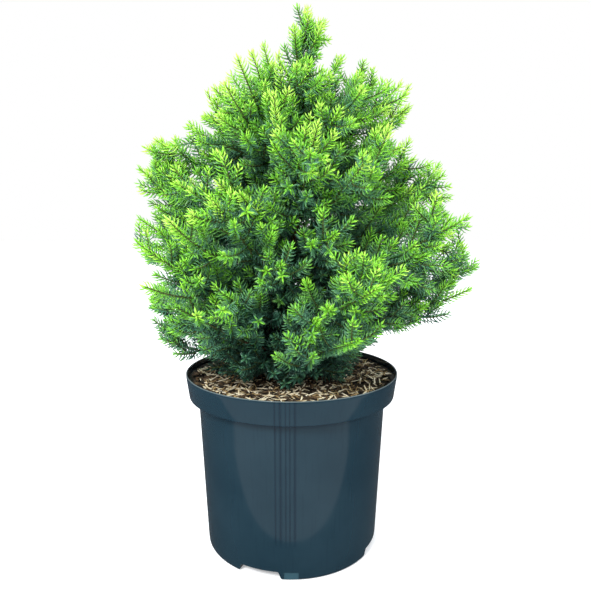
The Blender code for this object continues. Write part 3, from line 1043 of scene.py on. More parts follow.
@dataclass
class Crown:
    """Every limb and shoot of the plant: the source's own twigs, and finer ones between them."""

    rule: GrowthRule = field(default_factory=GrowthRule)
    trunk: TrunkSizes = field(default_factory=TrunkSizes)
    pot: PotSizes = field(default_factory=PotSizes)
    fine_spacing: float = 0.0078
    finest_spacing: float = 0.0105
    bough_spacing: float = 0.0075
    trunk_spacing: float = 0.0065
    filler_spacing: float = 0.0042
    low_filler_count: int = 22
    stem_thickness: float = 0.0015
    filler_thickness: float = 0.0013
    source_thickness: float = 0.0012
    lone_thickness: float = 0.0011
    twig_thickness: float = 0.0010
    fine_thickness: float = 0.0008
    twig_foot: float = 0.0020
    outline_test: float = 0.0060
    low_slack: float = 0.0050
    # Lengths of side twigs at the foot and at the tip of what carries them.
    mass_twigs: tuple[float, float] = (0.050, 0.020)
    top_twigs: tuple[float, float] = (0.032, 0.020)
    top_height: float = 0.44
    fine_twigs: tuple[float, float] = (0.026, 0.018)
    bough_twigs: tuple[float, float] = (0.038, 0.044)
    trunk_twigs: tuple[float, float] = (0.050, 0.038)
    filler_twigs: tuple[float, float] = (0.050, 0.028)
    lone_twigs: tuple[float, float] = (0.022, 0.016)
    lone_length: float = 0.052
    # Rows of distance to the right, negative to the left, of height, and of how steeply a shoot climbs.
    lone_tips: Rows = (
        (0.056, 0.512, 1.6),
        (0.078, 0.501, 1.2),
        (0.115, 0.487, 0.9),
        (0.124, 0.465, 0.7),
        (0.156, 0.407, 1.4),
        (0.188, 0.354, 0.6),
        (0.197, 0.301, 0.3),
        (-0.031, 0.508, 1.8),
        (-0.083, 0.483, 0.9),
        (-0.107, 0.448, 0.8),
        (-0.138, 0.431, 1.6),
        (-0.152, 0.402, 0.6),
        (-0.151, 0.276, 0.2),
    )
    shoots: list[Shoot] = field(default_factory=list)
    limbs: list[Limb] = field(default_factory=list)

    def grow(self) -> None:
        """Grow the limbs, the source's twigs and then the finer ones."""
        rule = self.rule
        taken = self.trunk_stretches()
        self.limbs = [Limb(rule, self.trunk, tier, n) for tier in rule.tiers for n in range(tier.count)]
        masses = []
        for limb in self.limbs:
            bough = bool(limb.tier.bough_share)
            bare = rule.stem_bare if bough else rule.trunk_stem_bare
            masses.append((limb.name, limb.stem(), bare, limb.draw))
            if bough:
                nodes = limb.bough_nodes()
                pairs = zip(nodes, nodes[1:])
                taken += [Stretch("bough", *pair, rule.bough_root_radius) for pair in pairs]
        masses.append(("leader", self.leader(), rule.stem_bare, random.Random(f"{SEED}-leader")))
        for name, stem, bare, _ in masses:
            taken += self.stretches(name, stem, bare)
        for name, stem, bare, draw in masses:
            twigs = self.source_twigs(name, stem, draw, taken)
            self.shoots.append(Shoot(stem, bare, self.stem_thickness))
            self.finer_twigs(stem, twigs, bare, random.Random(f"{SEED}-fine-{name}"))
        self.inner_twigs(random.Random(f"{SEED}-inner"))
        self.filling_limbs(random.Random(f"{SEED}-fill"))
        self.lone_shoots(random.Random(f"{SEED}-lone"))
        self.light_shoots(random.Random(f"{SEED}-light"))

    def mass_names(self) -> list[str]:
        """Names of the masses of foliage, with the leader's last."""
        return [limb.name for limb in self.limbs] + ["leader"]

    def trunk_stretches(self) -> list[Stretch]:
        """Straight runs of the trunk.

        Returns:
            The runs from foot to tip.
        """
        trunk, runs = self.trunk, 6
        span = trunk.tip_height - trunk.foot_height
        heights = [trunk.foot_height + span * step / runs for step in range(runs + 1)]
        pairs = zip(heights, heights[1:])
        return [Stretch("trunk", trunk.axis(a), trunk.axis(b), trunk.radius(a)) for a, b in pairs]

    def leader(self) -> Route:
        """Course of the leading shoot.

        Returns:
            The route from the trunk's tip to the crown's top.
        """
        trunk = self.trunk
        tip = trunk.axis(trunk.tip_height)
        below = trunk.axis(trunk.tip_height - 0.01)
        start = tip + (tip - below).normalized() * self.rule.node_gap
        end = Vector((trunk.leader_offset, 0.0, trunk.crown_top))
        return Route(start, (start + end) / 2 + Vector((-0.0012, 0.0, 0.0)), end)

    def stretches(self, owner: str, route: Route, bare: float) -> list[Stretch]:
        """The room that a needled twig takes: a slim run for its bare foot, then wide ones.

        Args:
            owner: the mass that the twig belongs to.
            route: its course.
            bare: length of its bare foot.

        Returns:
            The runs in order.
        """
        foot = bare / route.length
        points = [route.point(share) for share in (0.0, foot, 0.5 + foot / 2, 1.0)]
        reaches = (self.rule.bare_reach, self.rule.foliage_reach, self.rule.foliage_reach)
        return [Stretch(owner, *pair, reach) for *pair, reach in zip(points, points[1:], reaches)]

    def side_route(self, stem: Route, place: float, angle: float, roll: float, length: float) -> Route:
        """Course of a side twig that leaves a stem and bends up a little.

        Args:
            stem: the stem's course.
            place: share of the stem where the twig leaves.
            angle: angle to the stem.
            roll: turn round the stem.
            length: the twig's length.

        Returns:
            The twig's course.
        """
        along = stem.direction(place)
        side = along.cross(UP)
        side = side.normalized() if side.length > 0.1 else Vector((1, 0, 0))
        across = Matrix.Rotation(roll, 3, along) @ side
        heading = along * math.cos(angle) + across * math.sin(angle)
        start = stem.point(place)
        upturn = self.rule.upturn
        end = start + (heading + along * upturn + UP * upturn).normalized() * length
        return Route(start, start + heading * length / 2, end)

    def lowest(self, radius: float) -> float:
        """Least height of a twig's axis, over the mix inside the pot and over the lip outside it.

        Args:
            radius: distance from the pot's axis.

        Returns:
            The height.
        """
        rule, pot = self.rule, self.pot
        inside = radius < pot.rim_radius - pot.wall - rule.foliage_reach
        ground = self.trunk.foot_height + rule.mix_unevenness if inside else pot.height + rule.clearance
        return rule.foliage_reach + ground

    def has_room(self, owner: str, runs: Iterable[Stretch], taken: Iterable[Stretch]) -> bool:
        """Whether a twig stays in the outline, above the pot and clear of all but its own mass.

        Args:
            owner: the twig's mass.
            runs: the twig's runs.
            taken: runs already in place.

        Returns:
            True where it has room.
        """
        runs = list(runs)
        tip = runs[-1].end
        if tip.xy.length > self.rule.reach(tip.z, math.atan2(tip.y, tip.x)) + self.rule.outline_slack:
            return False
        if any(run.end.z < self.lowest(run.end.xy.length) for run in runs):
            return False
        for run in runs:
            for other in taken:
                room = run.reach + other.reach + self.rule.clearance
                if other.owner != owner and run.distance(other) < room:
                    return False
        return True

    def source_twigs(self, name: str, stem: Route, draw: random.Random, taken: list[Stretch]) -> list[Route]:
        """The twigs that the source fuses on to one stem, with the same draws.

        Args:
            name: the mass's name.
            stem: its stem.
            draw: its random draws.
            taken: runs in place, to which the new ones are added.

        Returns:
            The twigs' courses.
        """
        rule = self.rule
        roll = draw.uniform(0, 2 * math.pi)
        twigs: list[Route] = []
        for number in range(rule.twig_tries):
            share = (number * rule.try_stride % rule.twig_tries + 0.5) / rule.twig_tries
            angle = rule.twig_angle + draw.uniform(-1, 1) * rule.twig_angle_spread
            length = max(rule.shortest_twig, min(rule.longest_twig, stem.length * (0.62 - 0.34 * share)))
            length *= draw.uniform(0.88, 1.08)
            roll += GOLDEN_ANGLE
            route = self.side_route(stem, 0.14 + 0.68 * share, angle, roll, length)
            runs = self.stretches(name, route, rule.twig_bare)
            if len(twigs) < rule.twigs_per_mass and self.has_room(name, runs, taken):
                twigs.append(route)
                taken += runs
        return twigs

    def fits(self, route: Route, slack: float) -> bool:
        """Whether a finer twig stays within the crown's reach and above pot and mix.

        Args:
            route: the twig's course.
            slack: how far past the outline its tip may go.

        Returns:
            True where it fits.
        """
        for share in (0.5, 1.0):
            point = route.point(share)
            azimuth = math.atan2(point.y, point.x)
            heights = (point.z - self.outline_test, point.z + self.outline_test)
            if point.xy.length > min(self.rule.reach(height, azimuth) for height in heights) + slack:
                return False
            if point.z < self.lowest(point.xy.length) - self.low_slack:
                return False
        return route.end.z < self.trunk.crown_top

    def side_shoots(
        self,
        stem: Route,
        first: float,
        spacing: float,
        lengths: tuple[float, float],
        thickness: float,
        draw: random.Random,
    ) -> None:
        """Finer twigs at even places along a stem, where they fit.

        Args:
            stem: the stem's course.
            first: distance of the first twig from the stem's start.
            spacing: distance between twigs.
            lengths: length of the twigs at the foot and at the tip.
            thickness: radius of the twigs.
            draw: random draws.
        """
        roll = draw.uniform(0, 2 * math.pi)
        place = first
        while place < stem.length * 0.93:
            share = place / stem.length
            roll += GOLDEN_ANGLE
            length = (lengths[0] + (lengths[1] - lengths[0]) * share) * draw.uniform(0.8, 1.15)
            angle = self.rule.twig_angle + draw.uniform(-1, 1) * 0.2 - 0.25 * share
            place += spacing * draw.uniform(0.85, 1.15)
            route = self.side_route(stem, share, angle, roll, length)
            if self.fits(route, 1.0 * MM):
                self.shoots.append(Shoot(route, self.twig_foot, thickness))

    def finer_twigs(self, stem: Route, twigs: list[Route], bare: float, draw: random.Random) -> None:
        """Finer twigs along one mass's stem and along its source twigs.

        Args:
            stem: the mass's stem.
            twigs: its source twigs.
            bare: length of the stem's bare foot.
            draw: random draws.
        """
        lengths = self.mass_twigs if stem.end.z < self.top_height else self.top_twigs
        self.side_shoots(stem, bare * 0.6, self.fine_spacing, lengths, self.twig_thickness, draw)
        for twig in twigs:
            self.shoots.append(Shoot(twig, self.rule.twig_bare * 0.6, self.source_thickness))
            kind = (self.finest_spacing, self.fine_twigs, self.fine_thickness)
            self.side_shoots(twig, 7.0 * MM, *kind, draw)

    def inner_twigs(self, draw: random.Random) -> None:
        """Short twigs on the boughs and the trunk, which fill the crown's inside.

        Args:
            draw: random draws.
        """
        for limb in self.limbs:
            share = limb.tier.bough_share
            if share:
                bough = Route(limb.point(0.0), limb.point(share / 2), limb.point(share))
                kind = (self.bough_spacing, self.bough_twigs, self.twig_thickness)
                self.side_shoots(bough, 8.0 * MM, *kind, draw)
        trunk = self.trunk
        low, high = trunk.foot_height + 12.0 * MM, trunk.tip_height
        stem = Route(trunk.axis(low), trunk.axis((low + high) / 2), trunk.axis(high))
        kind = (self.trunk_spacing, self.trunk_twigs, self.twig_thickness)
        self.side_shoots(stem, 2.0 * MM, *kind, draw)

    def filling_limbs(self, draw: random.Random) -> None:
        """Slim limbs straight from the trunk, between the tiers, each with its own twigs.

        Args:
            draw: random draws.
        """
        trunk = self.trunk
        azimuth = draw.uniform(0, 2 * math.pi)
        height = trunk.foot_height + 14.0 * MM
        while height < trunk.tip_height - 15.0 * MM:
            azimuth += GOLDEN_ANGLE
            rise = draw.uniform(0.030, 0.062)
            reach = self.rule.reach(height + rise, azimuth) * draw.uniform(0.74, 0.96)
            self.filling_limb(height, azimuth, reach, rise, draw)
            height += self.filler_spacing * draw.uniform(0.9, 1.1)
        for number in range(self.low_filler_count):
            low = trunk.foot_height + draw.uniform(7.0, 20.0) * MM
            reach, rise = draw.uniform(0.045, 0.088), draw.uniform(4, 20) * MM
            self.filling_limb(low, number * GOLDEN_ANGLE, reach, rise, draw)

    def filling_limb(
        self, height: float, azimuth: float, reach: float, rise: float, draw: random.Random
    ) -> None:
        """One slim limb from the trunk with its twigs.

        Args:
            height: where it leaves the trunk.
            azimuth: its direction from the trunk.
            reach: distance of its tip from the pot's axis.
            rise: how far it climbs.
            draw: random draws.
        """
        start = self.trunk.axis(height)
        end = Vector((reach * math.cos(azimuth), reach * math.sin(azimuth), height + rise))
        limb = Route(start, (start + end) / 2 - UP * (rise * 0.12), end)
        if self.fits(limb, 0.0):
            self.shoots.append(Shoot(limb, limb.length * 0.35, self.filler_thickness))
            kind = (self.fine_spacing, self.filler_twigs, self.twig_thickness)
            self.side_shoots(limb, limb.length * 0.22, *kind, draw)

    def lone_shoots(self, draw: random.Random) -> None:
        """Single shoots that stand out past the crown's even outline, at its sides and all round.

        Args:
            draw: random draws.
        """
        for across, height, rise in self.lone_tips:
            for turn in (0.0, 2.1, 4.2):
                azimuth = (0.0 if across > 0 else math.pi) + turn + draw.uniform(-0.2, 0.2) * bool(turn)
                outward = Vector((math.cos(azimuth), math.sin(azimuth), 0.0))
                tip = outward * (abs(across) - 5.0 * MM) + UP * (height - 4.0 * MM)
                heading = (outward + UP * rise).normalized()
                start = tip - heading * self.lone_length
                route = Route(start, (start + tip) / 2 - UP * 2.0 * MM, tip)
                self.shoots.append(Shoot(route, 3.0 * MM, self.lone_thickness))
                self.side_shoots(route, 8.0 * MM, 13.0 * MM, self.lone_twigs, self.fine_thickness, draw)

    def light_shoots(self, draw: random.Random) -> None:
        """Give each shoot its brightness.

        Args:
            draw: random draws.
        """
        spray_light = SprayLight()
        for shoot in self.shoots:
            tip = shoot.route.end
            reach = self.rule.reach(tip.z, math.atan2(tip.y, tip.x))
            stray = draw.uniform(-spray_light.stray, spray_light.stray)
            shoot.light = spray_light.level(shoot, reach, self.trunk.crown_top, stray)


@dataclass
class Wood:
    """Bark of the trunk and boughs, with relief, and the fine twigs."""

    crown: Crown
    bark: BarkFinish = BarkFinish("bark", linear(52, 31, 20), linear(122, 82, 56))
    twig_bark: BarkFinish = BarkFinish("twig_bark", linear(50, 70, 32), linear(98, 106, 50))
    ridge_count: int = 9

    def limb(
        self, centre: Callable[[float], Vector], radius: Callable[[float], float], sides: int, rings: int
    ) -> Template:
        """One limb with ridged bark.

        Args:
            centre: the limb's axis from 0 to 1.
            radius: its thickness from 0 to 1.
            sides: number of faces round it.
            rings: number of rings along it.

        Returns:
            The limb's points and triangles, in place.
        """
        bm = ringed_cone(sides, 1.0, rings)
        bmesh.ops.triangulate(bm, faces=bm.faces)
        for vertex in bm.verts:
            share = min(1.0, max(0.0, vertex.co.z))
            along = (centre(share + 0.01) - centre(share - 0.01)).normalized()
            turn = along.to_track_quat("Z", "Y").to_matrix()
            angle = math.atan2(vertex.co.y, vertex.co.x)
            middle = centre(share)
            ridge = math.sin(angle * self.ridge_count + 3 * noise.noise(middle * 90))
            flake = noise.noise(Vector((math.cos(angle), math.sin(angle), share * 14)) * 2.2)
            swell = 1.0 + 0.05 * ridge + 0.10 * flake
            vertex.co = middle + turn @ Vector((vertex.co.x, vertex.co.y, 0.0)) * radius(share) * swell
        return Template.from_bmesh(bm)

    def dressed(self, name: str, limbs: Sequence[Template], *nodes: str) -> bpy.types.Object:
        """Join limbs to one piece of bark.

        Args:
            name: the piece's name.
            limbs: its limbs.
            nodes: the solids that it stands for.

        Returns:
            The finished piece.
        """
        starts = np.cumsum([0] + [len(limb.points) for limb in limbs])
        points = np.concatenate([limb.points for limb in limbs])
        faces = np.concatenate([limb.faces + start for limb, start in zip(limbs, starts)])
        piece = joined_mesh(name, points, faces)
        smooth(piece, 50.0)
        piece.data.materials.append(self.bark.make())
        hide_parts(*nodes)
        return settle(piece, "bark")

    def build_trunk(self) -> bpy.types.Object:
        """The trunk's bark, from its flare to its tip.

        Returns:
            The finished trunk.
        """
        trunk = self.crown.trunk
        low, high = trunk.foot_height - 1.5 * MM, trunk.tip_height + 2.0 * MM

        def height(share: float) -> float:
            """Height at a share of the trunk."""
            return low + (high - low) * share

        def radius(share: float) -> float:
            """The trunk's thickness, held past its ends."""
            return trunk.radius(min(trunk.tip_height, max(trunk.foot_height, height(share))))

        shape = self.limb(lambda share: trunk.axis(height(share)), radius, 28, 120)
        return self.dressed("trunk_bark", [shape], "trunk")

    def build_boughs(self) -> bpy.types.Object:
        """All boughs, each sunk a little into the trunk.

        Returns:
            The finished boughs.
        """
        rule = self.crown.rule
        limbs = [limb for limb in self.crown.limbs if limb.tier.bough_share]
        shapes = []
        for limb in limbs:
            sink = limb.outward * -3.0 * MM

            def centre(share: float, limb: Limb = limb, sink: Vector = sink) -> Vector:
                """The bough's axis, which starts inside the trunk."""
                return limb.point(max(0.0, share) * limb.tier.bough_share) + sink * max(0.0, 1.0 - share * 6)

            def radius(share: float) -> float:
                """The bough's thickness, with a collar at the trunk."""
                taper = rule.bough_tip_radius - rule.bough_root_radius
                return rule.bough_root_radius + taper * share + 0.9 * MM * max(0.0, 1.0 - share * 7)

            shapes.append(self.limb(centre, radius, 12, 22))
        return self.dressed("bough_bark", shapes, *(f"bough_{limb.name}" for limb in limbs))

    def build_twigs(self) -> bpy.types.Object:
        """The woody core of every shoot, as one joined mesh.

        Returns:
            The finished twigs.
        """
        shape = Template.from_bmesh(ringed_cone(4, 0.45, 2))
        shoots = self.crown.shoots
        ends = curve_ends(shoots)
        radii = np.array([shoot.thickness for shoot in shoots])
        share = np.broadcast_to(shape.points[:, 2], (len(shoots), len(shape.points)))
        centre, along = points_on(ends[:, None], share)
        side, across = frames(along)
        spread = shape.points[None, :, 0, None] * side + shape.points[None, :, 1, None] * across
        placed = centre + spread * radii[:, None, None]
        piece = joined_mesh("twigs", *shape.repeated(placed))
        piece.data.materials.append(self.twig_bark.make())
        return settle(piece, "bark")


def curve_ends(shoots: Sequence[Shoot]) -> np.ndarray:
    """Start, middle and end of every shoot, as an array of shoots by 3 by 3."""
    return np.array([[shoot.route.start[:], shoot.route.middle[:], shoot.route.end[:]] for shoot in shoots])


def points_on(ends: np.ndarray, share: np.ndarray) -> tuple[np.ndarray, np.ndarray]:
    """Points and unit directions on many routes at once.

    Args:
        ends: start, middle and end in the second last axis.
        share: place on each route, from 0 to 1.

    Returns:
        The points and the directions.
    """
    s = share[..., None]
    start, middle, end = ends[..., 0, :], ends[..., 1, :], ends[..., 2, :]
    place = start * (2 * s - 1) * (s - 1) + middle * 4 * s * (1 - s) + end * s * (2 * s - 1)
    along = start * (4 * s - 3) + middle * (4 - 8 * s) + end * (4 * s - 1)
    return place, along / np.linalg.norm(along, axis=-1, keepdims=True)


def frames(along: np.ndarray) -> tuple[np.ndarray, np.ndarray]:
    """Two directions square to each direction in an array.

    Args:
        along: unit directions.

    Returns:
        The first and the second square direction.
    """
    guide = np.array([0.31, 0.17, 0.93])
    side = np.cross(along, guide)
    side /= np.linalg.norm(side, axis=-1, keepdims=True) + 1e-9
    return side, np.cross(along, side)


@dataclass
class Needles:
    """All needles: placed in a spiral round every shoot and dealt out in tints by spray."""

    crown: Crown
    spacing: float = 0.00074
    length: float = 0.0106
    width: float = 0.00080
    thickness_share: float = 0.8
    rank_turn: float = math.radians(144.25)
    foot_lean: float = math.radians(80)
    tip_lean: float = math.radians(50)
    curl: float = math.radians(50)
    lean_spread: float = 0.07
    roll_spread: float = 0.13
    most_in_piece: int = 16000
    # Tint steps: those of a dark spray, of a lit one, and the strays of each spray and each needle.
    ground_level: float = 0.3
    lit_levels: float = 3.0
    tip_levels: tuple[float, float] = (1.2, 3.6)
    spray_stray: float = 0.45
    needle_stray: float = 1.1

    def build(self) -> list[bpy.types.Object]:
        """Place the needles and make the pieces.

        Returns:
            One or more pieces for each tint.
        """
        draw = np.random.default_rng(SEED)
        shoots = self.crown.shoots
        ends = curve_ends(shoots)
        lengths = np.linalg.norm(ends[:, 2] - ends[:, 0], axis=1)
        bare = np.array([shoot.bare for shoot in shoots])
        light = np.array([shoot.light for shoot in shoots])
        counts = np.maximum(6, ((lengths - bare) / self.spacing)).astype(int)
        owner = np.repeat(np.arange(len(shoots)), counts)
        order = np.arange(len(owner)) - np.repeat(np.cumsum(counts) - counts, counts)
        along_share = (order + draw.uniform(0, 1, len(owner))) / counts[owner]
        share = bare[owner] / lengths[owner] * (1 - along_share) + along_share
        centre, along = points_on(ends[owner], share)
        side, across = frames(along)
        stray = draw.uniform(-self.roll_spread, self.roll_spread, len(owner))
        roll = order * self.rank_turn + stray + owner
        outward = side * np.cos(roll)[:, None] + across * np.sin(roll)[:, None]
        tangent = np.cross(along, outward)
        lean = self.foot_lean + (self.tip_lean - self.foot_lean) * along_share ** 5
        lean += draw.normal(0, self.lean_spread, len(owner))
        size = self.length * (0.84 + 0.16 * np.sin(np.pi * along_share)) * (1 - 0.32 * along_share ** 6)
        size *= draw.uniform(0.86, 1.1, len(owner)) * np.clip(lengths[owner] / 0.03, 0.8, 1.05)
        shape = Template.needle(3, (0.12, 0.62), 0.8)
        placed = self.bent(shape, centre, along, outward, tangent, lean, size)
        ranks = self.ranks(light[owner], along_share, owner, draw)
        pieces = []
        for tint in Tint:
            chosen = placed[ranks == tint.rank]
            piece_count = max(1, math.ceil(len(chosen) / self.most_in_piece))
            for number, part in enumerate(np.array_split(chosen, piece_count)):
                if len(part):
                    pieces.append(self.piece(tint, number, shape, part))
        LOG.info("%d shoots, %d needles", len(shoots), len(owner))
        return pieces

    def bent(
        self,
        shape: Template,
        centre: np.ndarray,
        along: np.ndarray,
        outward: np.ndarray,
        tangent: np.ndarray,
        lean: np.ndarray,
        size: np.ndarray,
    ) -> np.ndarray:
        """Bend the straight needle forward and put a copy at every place.

        Args:
            shape: the straight needle.
            centre: feet of the needles.
            along: directions of their twigs.
            outward: directions away from the twigs.
            tangent: directions round the twigs.
            lean: angle between needle and twig at the foot.
            size: length of each needle.

        Returns:
            Placed points, needles by points by 3.
        """
        t = shape.points[None, :, 2]
        angle = lean[:, None] - self.curl * t / 2
        out = np.sin(angle) * t * size[:, None]
        forward = np.cos(angle) * t * size[:, None]
        flat = shape.points[None, :, 0] * self.width
        thick = shape.points[None, :, 1] * self.width * self.thickness_share
        end_angle = lean[:, None] - self.curl * t
        out = out + thick * np.cos(end_angle)
        forward = forward - thick * np.sin(end_angle)
        placed = centre[:, None] + outward[:, None] * out[..., None]
        return placed + along[:, None] * forward[..., None] + tangent[:, None] * flat[..., None]

    def ranks(
        self, light: np.ndarray, along_share: np.ndarray, owner: np.ndarray, draw: np.random.Generator
    ) -> np.ndarray:
        """Tint of every needle: brighter on lit sprays and towards their tips.

        Args:
            light: brightness of each needle's spray.
            along_share: place of each needle along its spray.
            owner: number of its spray.
            draw: random draws.

        Returns:
            The tint's rank for each needle.
        """
        third = np.floor(along_share * 4) / 3
        stray = draw.uniform(-self.spray_stray, self.spray_stray, owner.max() + 1)[owner]
        dark_tip, lit_tip = self.tip_levels
        level = self.ground_level + self.lit_levels * light + stray
        level += (dark_tip + lit_tip * light) * third ** 1.7
        level += draw.uniform(-self.needle_stray, self.needle_stray, len(light))
        return np.clip(np.floor(level), 0, len(Tint) - 1).astype(int)

    def piece(self, tint: Tint, number: int, shape: Template, placed: np.ndarray) -> bpy.types.Object:
        """One joined piece of needles in one tint.

        Args:
            tint: the piece's colour.
            number: its number among pieces of that tint.
            shape: the needle's template.
            placed: its needles.

        Returns:
            The finished piece.
        """
        made = joined_mesh(f"needles_{tint.name.lower()}_{number + 1}", *shape.repeated(placed))
        name = "needle_" + tint.name.lower()
        made.data.materials.append(bpy.data.materials.get(name) or tint.make())
        return settle(made, tint.slot)


@dataclass(frozen=True)
class Litter:
    """One kind of loose matter on the bed; its sizes are least and greatest length, width, thickness."""

    name: str
    shape: Template
    count: int
    sizes: tuple
    finish: LooseMatter
    lift: float
    seed: int


@dataclass
class Mulch:
    """The potting mix: an uneven dark bed with crumbs, flakes and pale fibres lying on it."""

    pot: PotSizes
    trunk: TrunkSizes
    edge_height: float = 0.1815
    flat_radius: float = 0.0160
    rings: int = 44
    turn_steps: int = 144
    crumb_count: int = 2600
    flake_count: int = 900
    tan_count: int = 560
    cream_count: int = 560
    wall_gap: float = 0.0002
    bed_sink: float = 0.0020
    tilt_spread: float = 0.32
    # Length and height of the surface's swells, from broad to fine.
    swells: tuple = ((0.030, 0.0020), (0.009, 0.0011), (0.003, 0.0005))

    @property
    def low_radius(self) -> float:
        """Radius of the bed's underside, at the foot of the rim band."""
        return self.pot.rim_radius - self.pot.band_taper - self.pot.wall - self.wall_gap

    @property
    def edge_radius(self) -> float:
        """Radius where the bed meets the pot's wall."""
        share = (self.edge_height - self.pot.band_foot) / self.pot.band_height
        return self.low_radius + self.pot.band_taper * share

    def height(self, x: float, y: float) -> float:
        """Height of the bed's surface.

        Args:
            x: distance to the right of the pot's axis.
            y: distance behind it.

        Returns:
            The height above the ground.
        """
        radius = math.hypot(x, y)
        share = max(0.0, (radius - self.flat_radius) / (self.edge_radius - self.flat_radius))
        level = self.trunk.foot_height + (self.edge_height - self.trunk.foot_height) * share
        place = Vector((x, y, 0.0))
        return level + sum(size * noise.noise(place / length) for length, size in self.swells)

    def build_bed(self) -> bpy.types.Object:
        """The bed, closed below, in place of the solid mix.

        Returns:
            The finished bed.
        """
        depth = self.pot.band_foot + self.bed_sink
        radii = [self.edge_radius * ring / self.rings for ring in range(self.rings + 1)]
        section = [(radius, self.edge_height) for radius in radii]
        bm = turned([*section, (self.low_radius, depth), (0.0, depth)], self.turn_steps)
        for vertex in bm.verts:
            if vertex.co.z > self.edge_height - 0.1 * MM:
                vertex.co.z = self.height(vertex.co.x, vertex.co.y)
        bmesh.ops.recalc_face_normals(bm, faces=bm.faces)
        bed = object_of("mulch_bed", bm)
        smooth(bed, 60.0)
        bed.data.materials.append(LooseMatter("mulch_bed", linear(10, 8, 5), linear(40, 32, 22)).make())
        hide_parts("potting_mix")
        return settle(bed, "mulch")

    def scatter(self, litter: Litter) -> bpy.types.Object:
        """Lay many copies of a small shape on the bed as one joined mesh.

        Args:
            litter: the kind of loose matter.

        Returns:
            The finished piece.
        """
        draw = np.random.default_rng(litter.seed)
        count, sizes = litter.count, litter.sizes
        margin = sizes[0][1] / 2 + 1.0 * MM
        radius = (self.edge_radius - margin) * np.sqrt(draw.uniform(0.01, 1, count))
        azimuth = draw.uniform(0, 2 * math.pi, count)
        x, y = radius * np.cos(azimuth), radius * np.sin(azimuth)
        z = np.array([self.height(a, b) for a, b in zip(x, y)]) + litter.lift
        scale = np.stack([draw.uniform(low, high, count) for low, high in sizes], axis=1)
        yaw, tilt = draw.uniform(0, 2 * math.pi, count), draw.normal(0, self.tilt_spread, count)
        local = litter.shape.points[None] * scale[:, None]
        ahead = np.stack([np.cos(yaw) * np.cos(tilt), np.sin(yaw) * np.cos(tilt), np.sin(tilt)], axis=1)
        aside = np.stack([-np.sin(yaw), np.cos(yaw), np.zeros(count)], axis=1)
        above = np.cross(ahead, aside)
        placed = (
            np.stack([x, y, z], axis=1)[:, None]
            + local[..., :1] * ahead[:, None]
            + local[..., 1:2] * aside[:, None]
            + local[..., 2:] * above[:, None]
        )
        piece = joined_mesh(litter.name, *litter.shape.repeated(placed))
        piece.data.materials.append(litter.finish.make())
        piece.data.set_sharp_from_angle(angle=math.radians(40))
        return settle(piece, "mulch")

    @staticmethod
    def crumb() -> Template:
        """A lumpy crumb.

        Returns:
            The template, one unit across.
        """
        bm = bmesh.new()
        bmesh.ops.create_icosphere(bm, subdivisions=1, radius=0.5)
        for vertex in bm.verts:
            vertex.co *= 1.0 + 0.45 * noise.noise(vertex.co * 3.1)
        return Template.from_bmesh(bm)

    @staticmethod
    def fibre(bow: float, taper: float) -> Template:
        """A bowed splinter one unit long, lying along X.

        Args:
            bow: how far its middle stands aside.
            taper: share of its width left at the ends.

        Returns:
            The template.
        """
        bm = bmesh.new()
        bmesh.ops.create_cube(bm, size=1.0)
        bmesh.ops.subdivide_edges(bm, edges=edges_along(bm, 0, 0.5), cuts=3)
        for vertex in bm.verts:
            share = 1 - (2 * vertex.co.x) ** 2
            vertex.co.y = vertex.co.y * (taper + (1 - taper) * share) + bow * share
            vertex.co.z *= taper + (1 - taper) * share
        return Template.from_bmesh(bm)

    def build(self) -> list[bpy.types.Object]:
        """Build the bed and all that lies on it.

        Returns:
            The pieces.
        """
        dark = LooseMatter("crumbs", linear(16, 12, 6), linear(66, 52, 36))
        flake = LooseMatter("bark_flakes", linear(40, 29, 18), linear(104, 82, 56))
        tan = LooseMatter("tan_fibres", linear(132, 106, 66), linear(190, 164, 116))
        cream = LooseMatter("cream_fibres", linear(214, 196, 156), linear(250, 240, 214))
        crumb_sizes = ((1.6 * MM, 6.0 * MM), (1.6 * MM, 5.0 * MM), (1.4 * MM, 4.2 * MM))
        flake_sizes = ((4.0 * MM, 12.0 * MM), (1.6 * MM, 4.0 * MM), (0.6 * MM, 1.5 * MM))
        fibre_sizes = ((4.0 * MM, 14.0 * MM), (0.8 * MM, 1.7 * MM), (0.5 * MM, 1.0 * MM))
        splinter, chip = self.fibre(0.3, 0.35), self.fibre(0.1, 0.5)
        litters = (
            Litter("mulch_crumbs", self.crumb(), self.crumb_count, crumb_sizes, dark, 0.5 * MM, 1),
            Litter("mulch_flakes", chip, self.flake_count, flake_sizes, flake, 1.3 * MM, 2),
            Litter("mulch_tan", splinter, self.tan_count, fibre_sizes, tan, 1.7 * MM, 3),
            Litter("mulch_cream", splinter, self.cream_count, fibre_sizes, cream, 2.1 * MM, 4),
        )
        return [self.build_bed(), *(self.scatter(litter) for litter in litters)]


@dataclass(frozen=True)
class SoftBox:
    """A rectangular light, out of the camera's sight."""

    name: str
    centre: tuple
    aim: tuple
    size: tuple
    radiance: float

    def build(self) -> None:
        """Place the light."""
        light = bpy.data.lights.new(self.name, "AREA")
        light.shape = "RECTANGLE"
        light.size, light.size_y = self.size
        light.energy = self.radiance * math.pi * self.size[0] * self.size[1]
        lamp = bpy.data.objects.new(self.name, light)
        lamp.location = self.centre
        heading = Vector(self.aim) - Vector(self.centre)
        lamp.rotation_euler = heading.to_track_quat("-Z", "Y").to_euler()
        lamp.visible_camera = False
        bpy.context.scene.collection.objects.link(lamp)


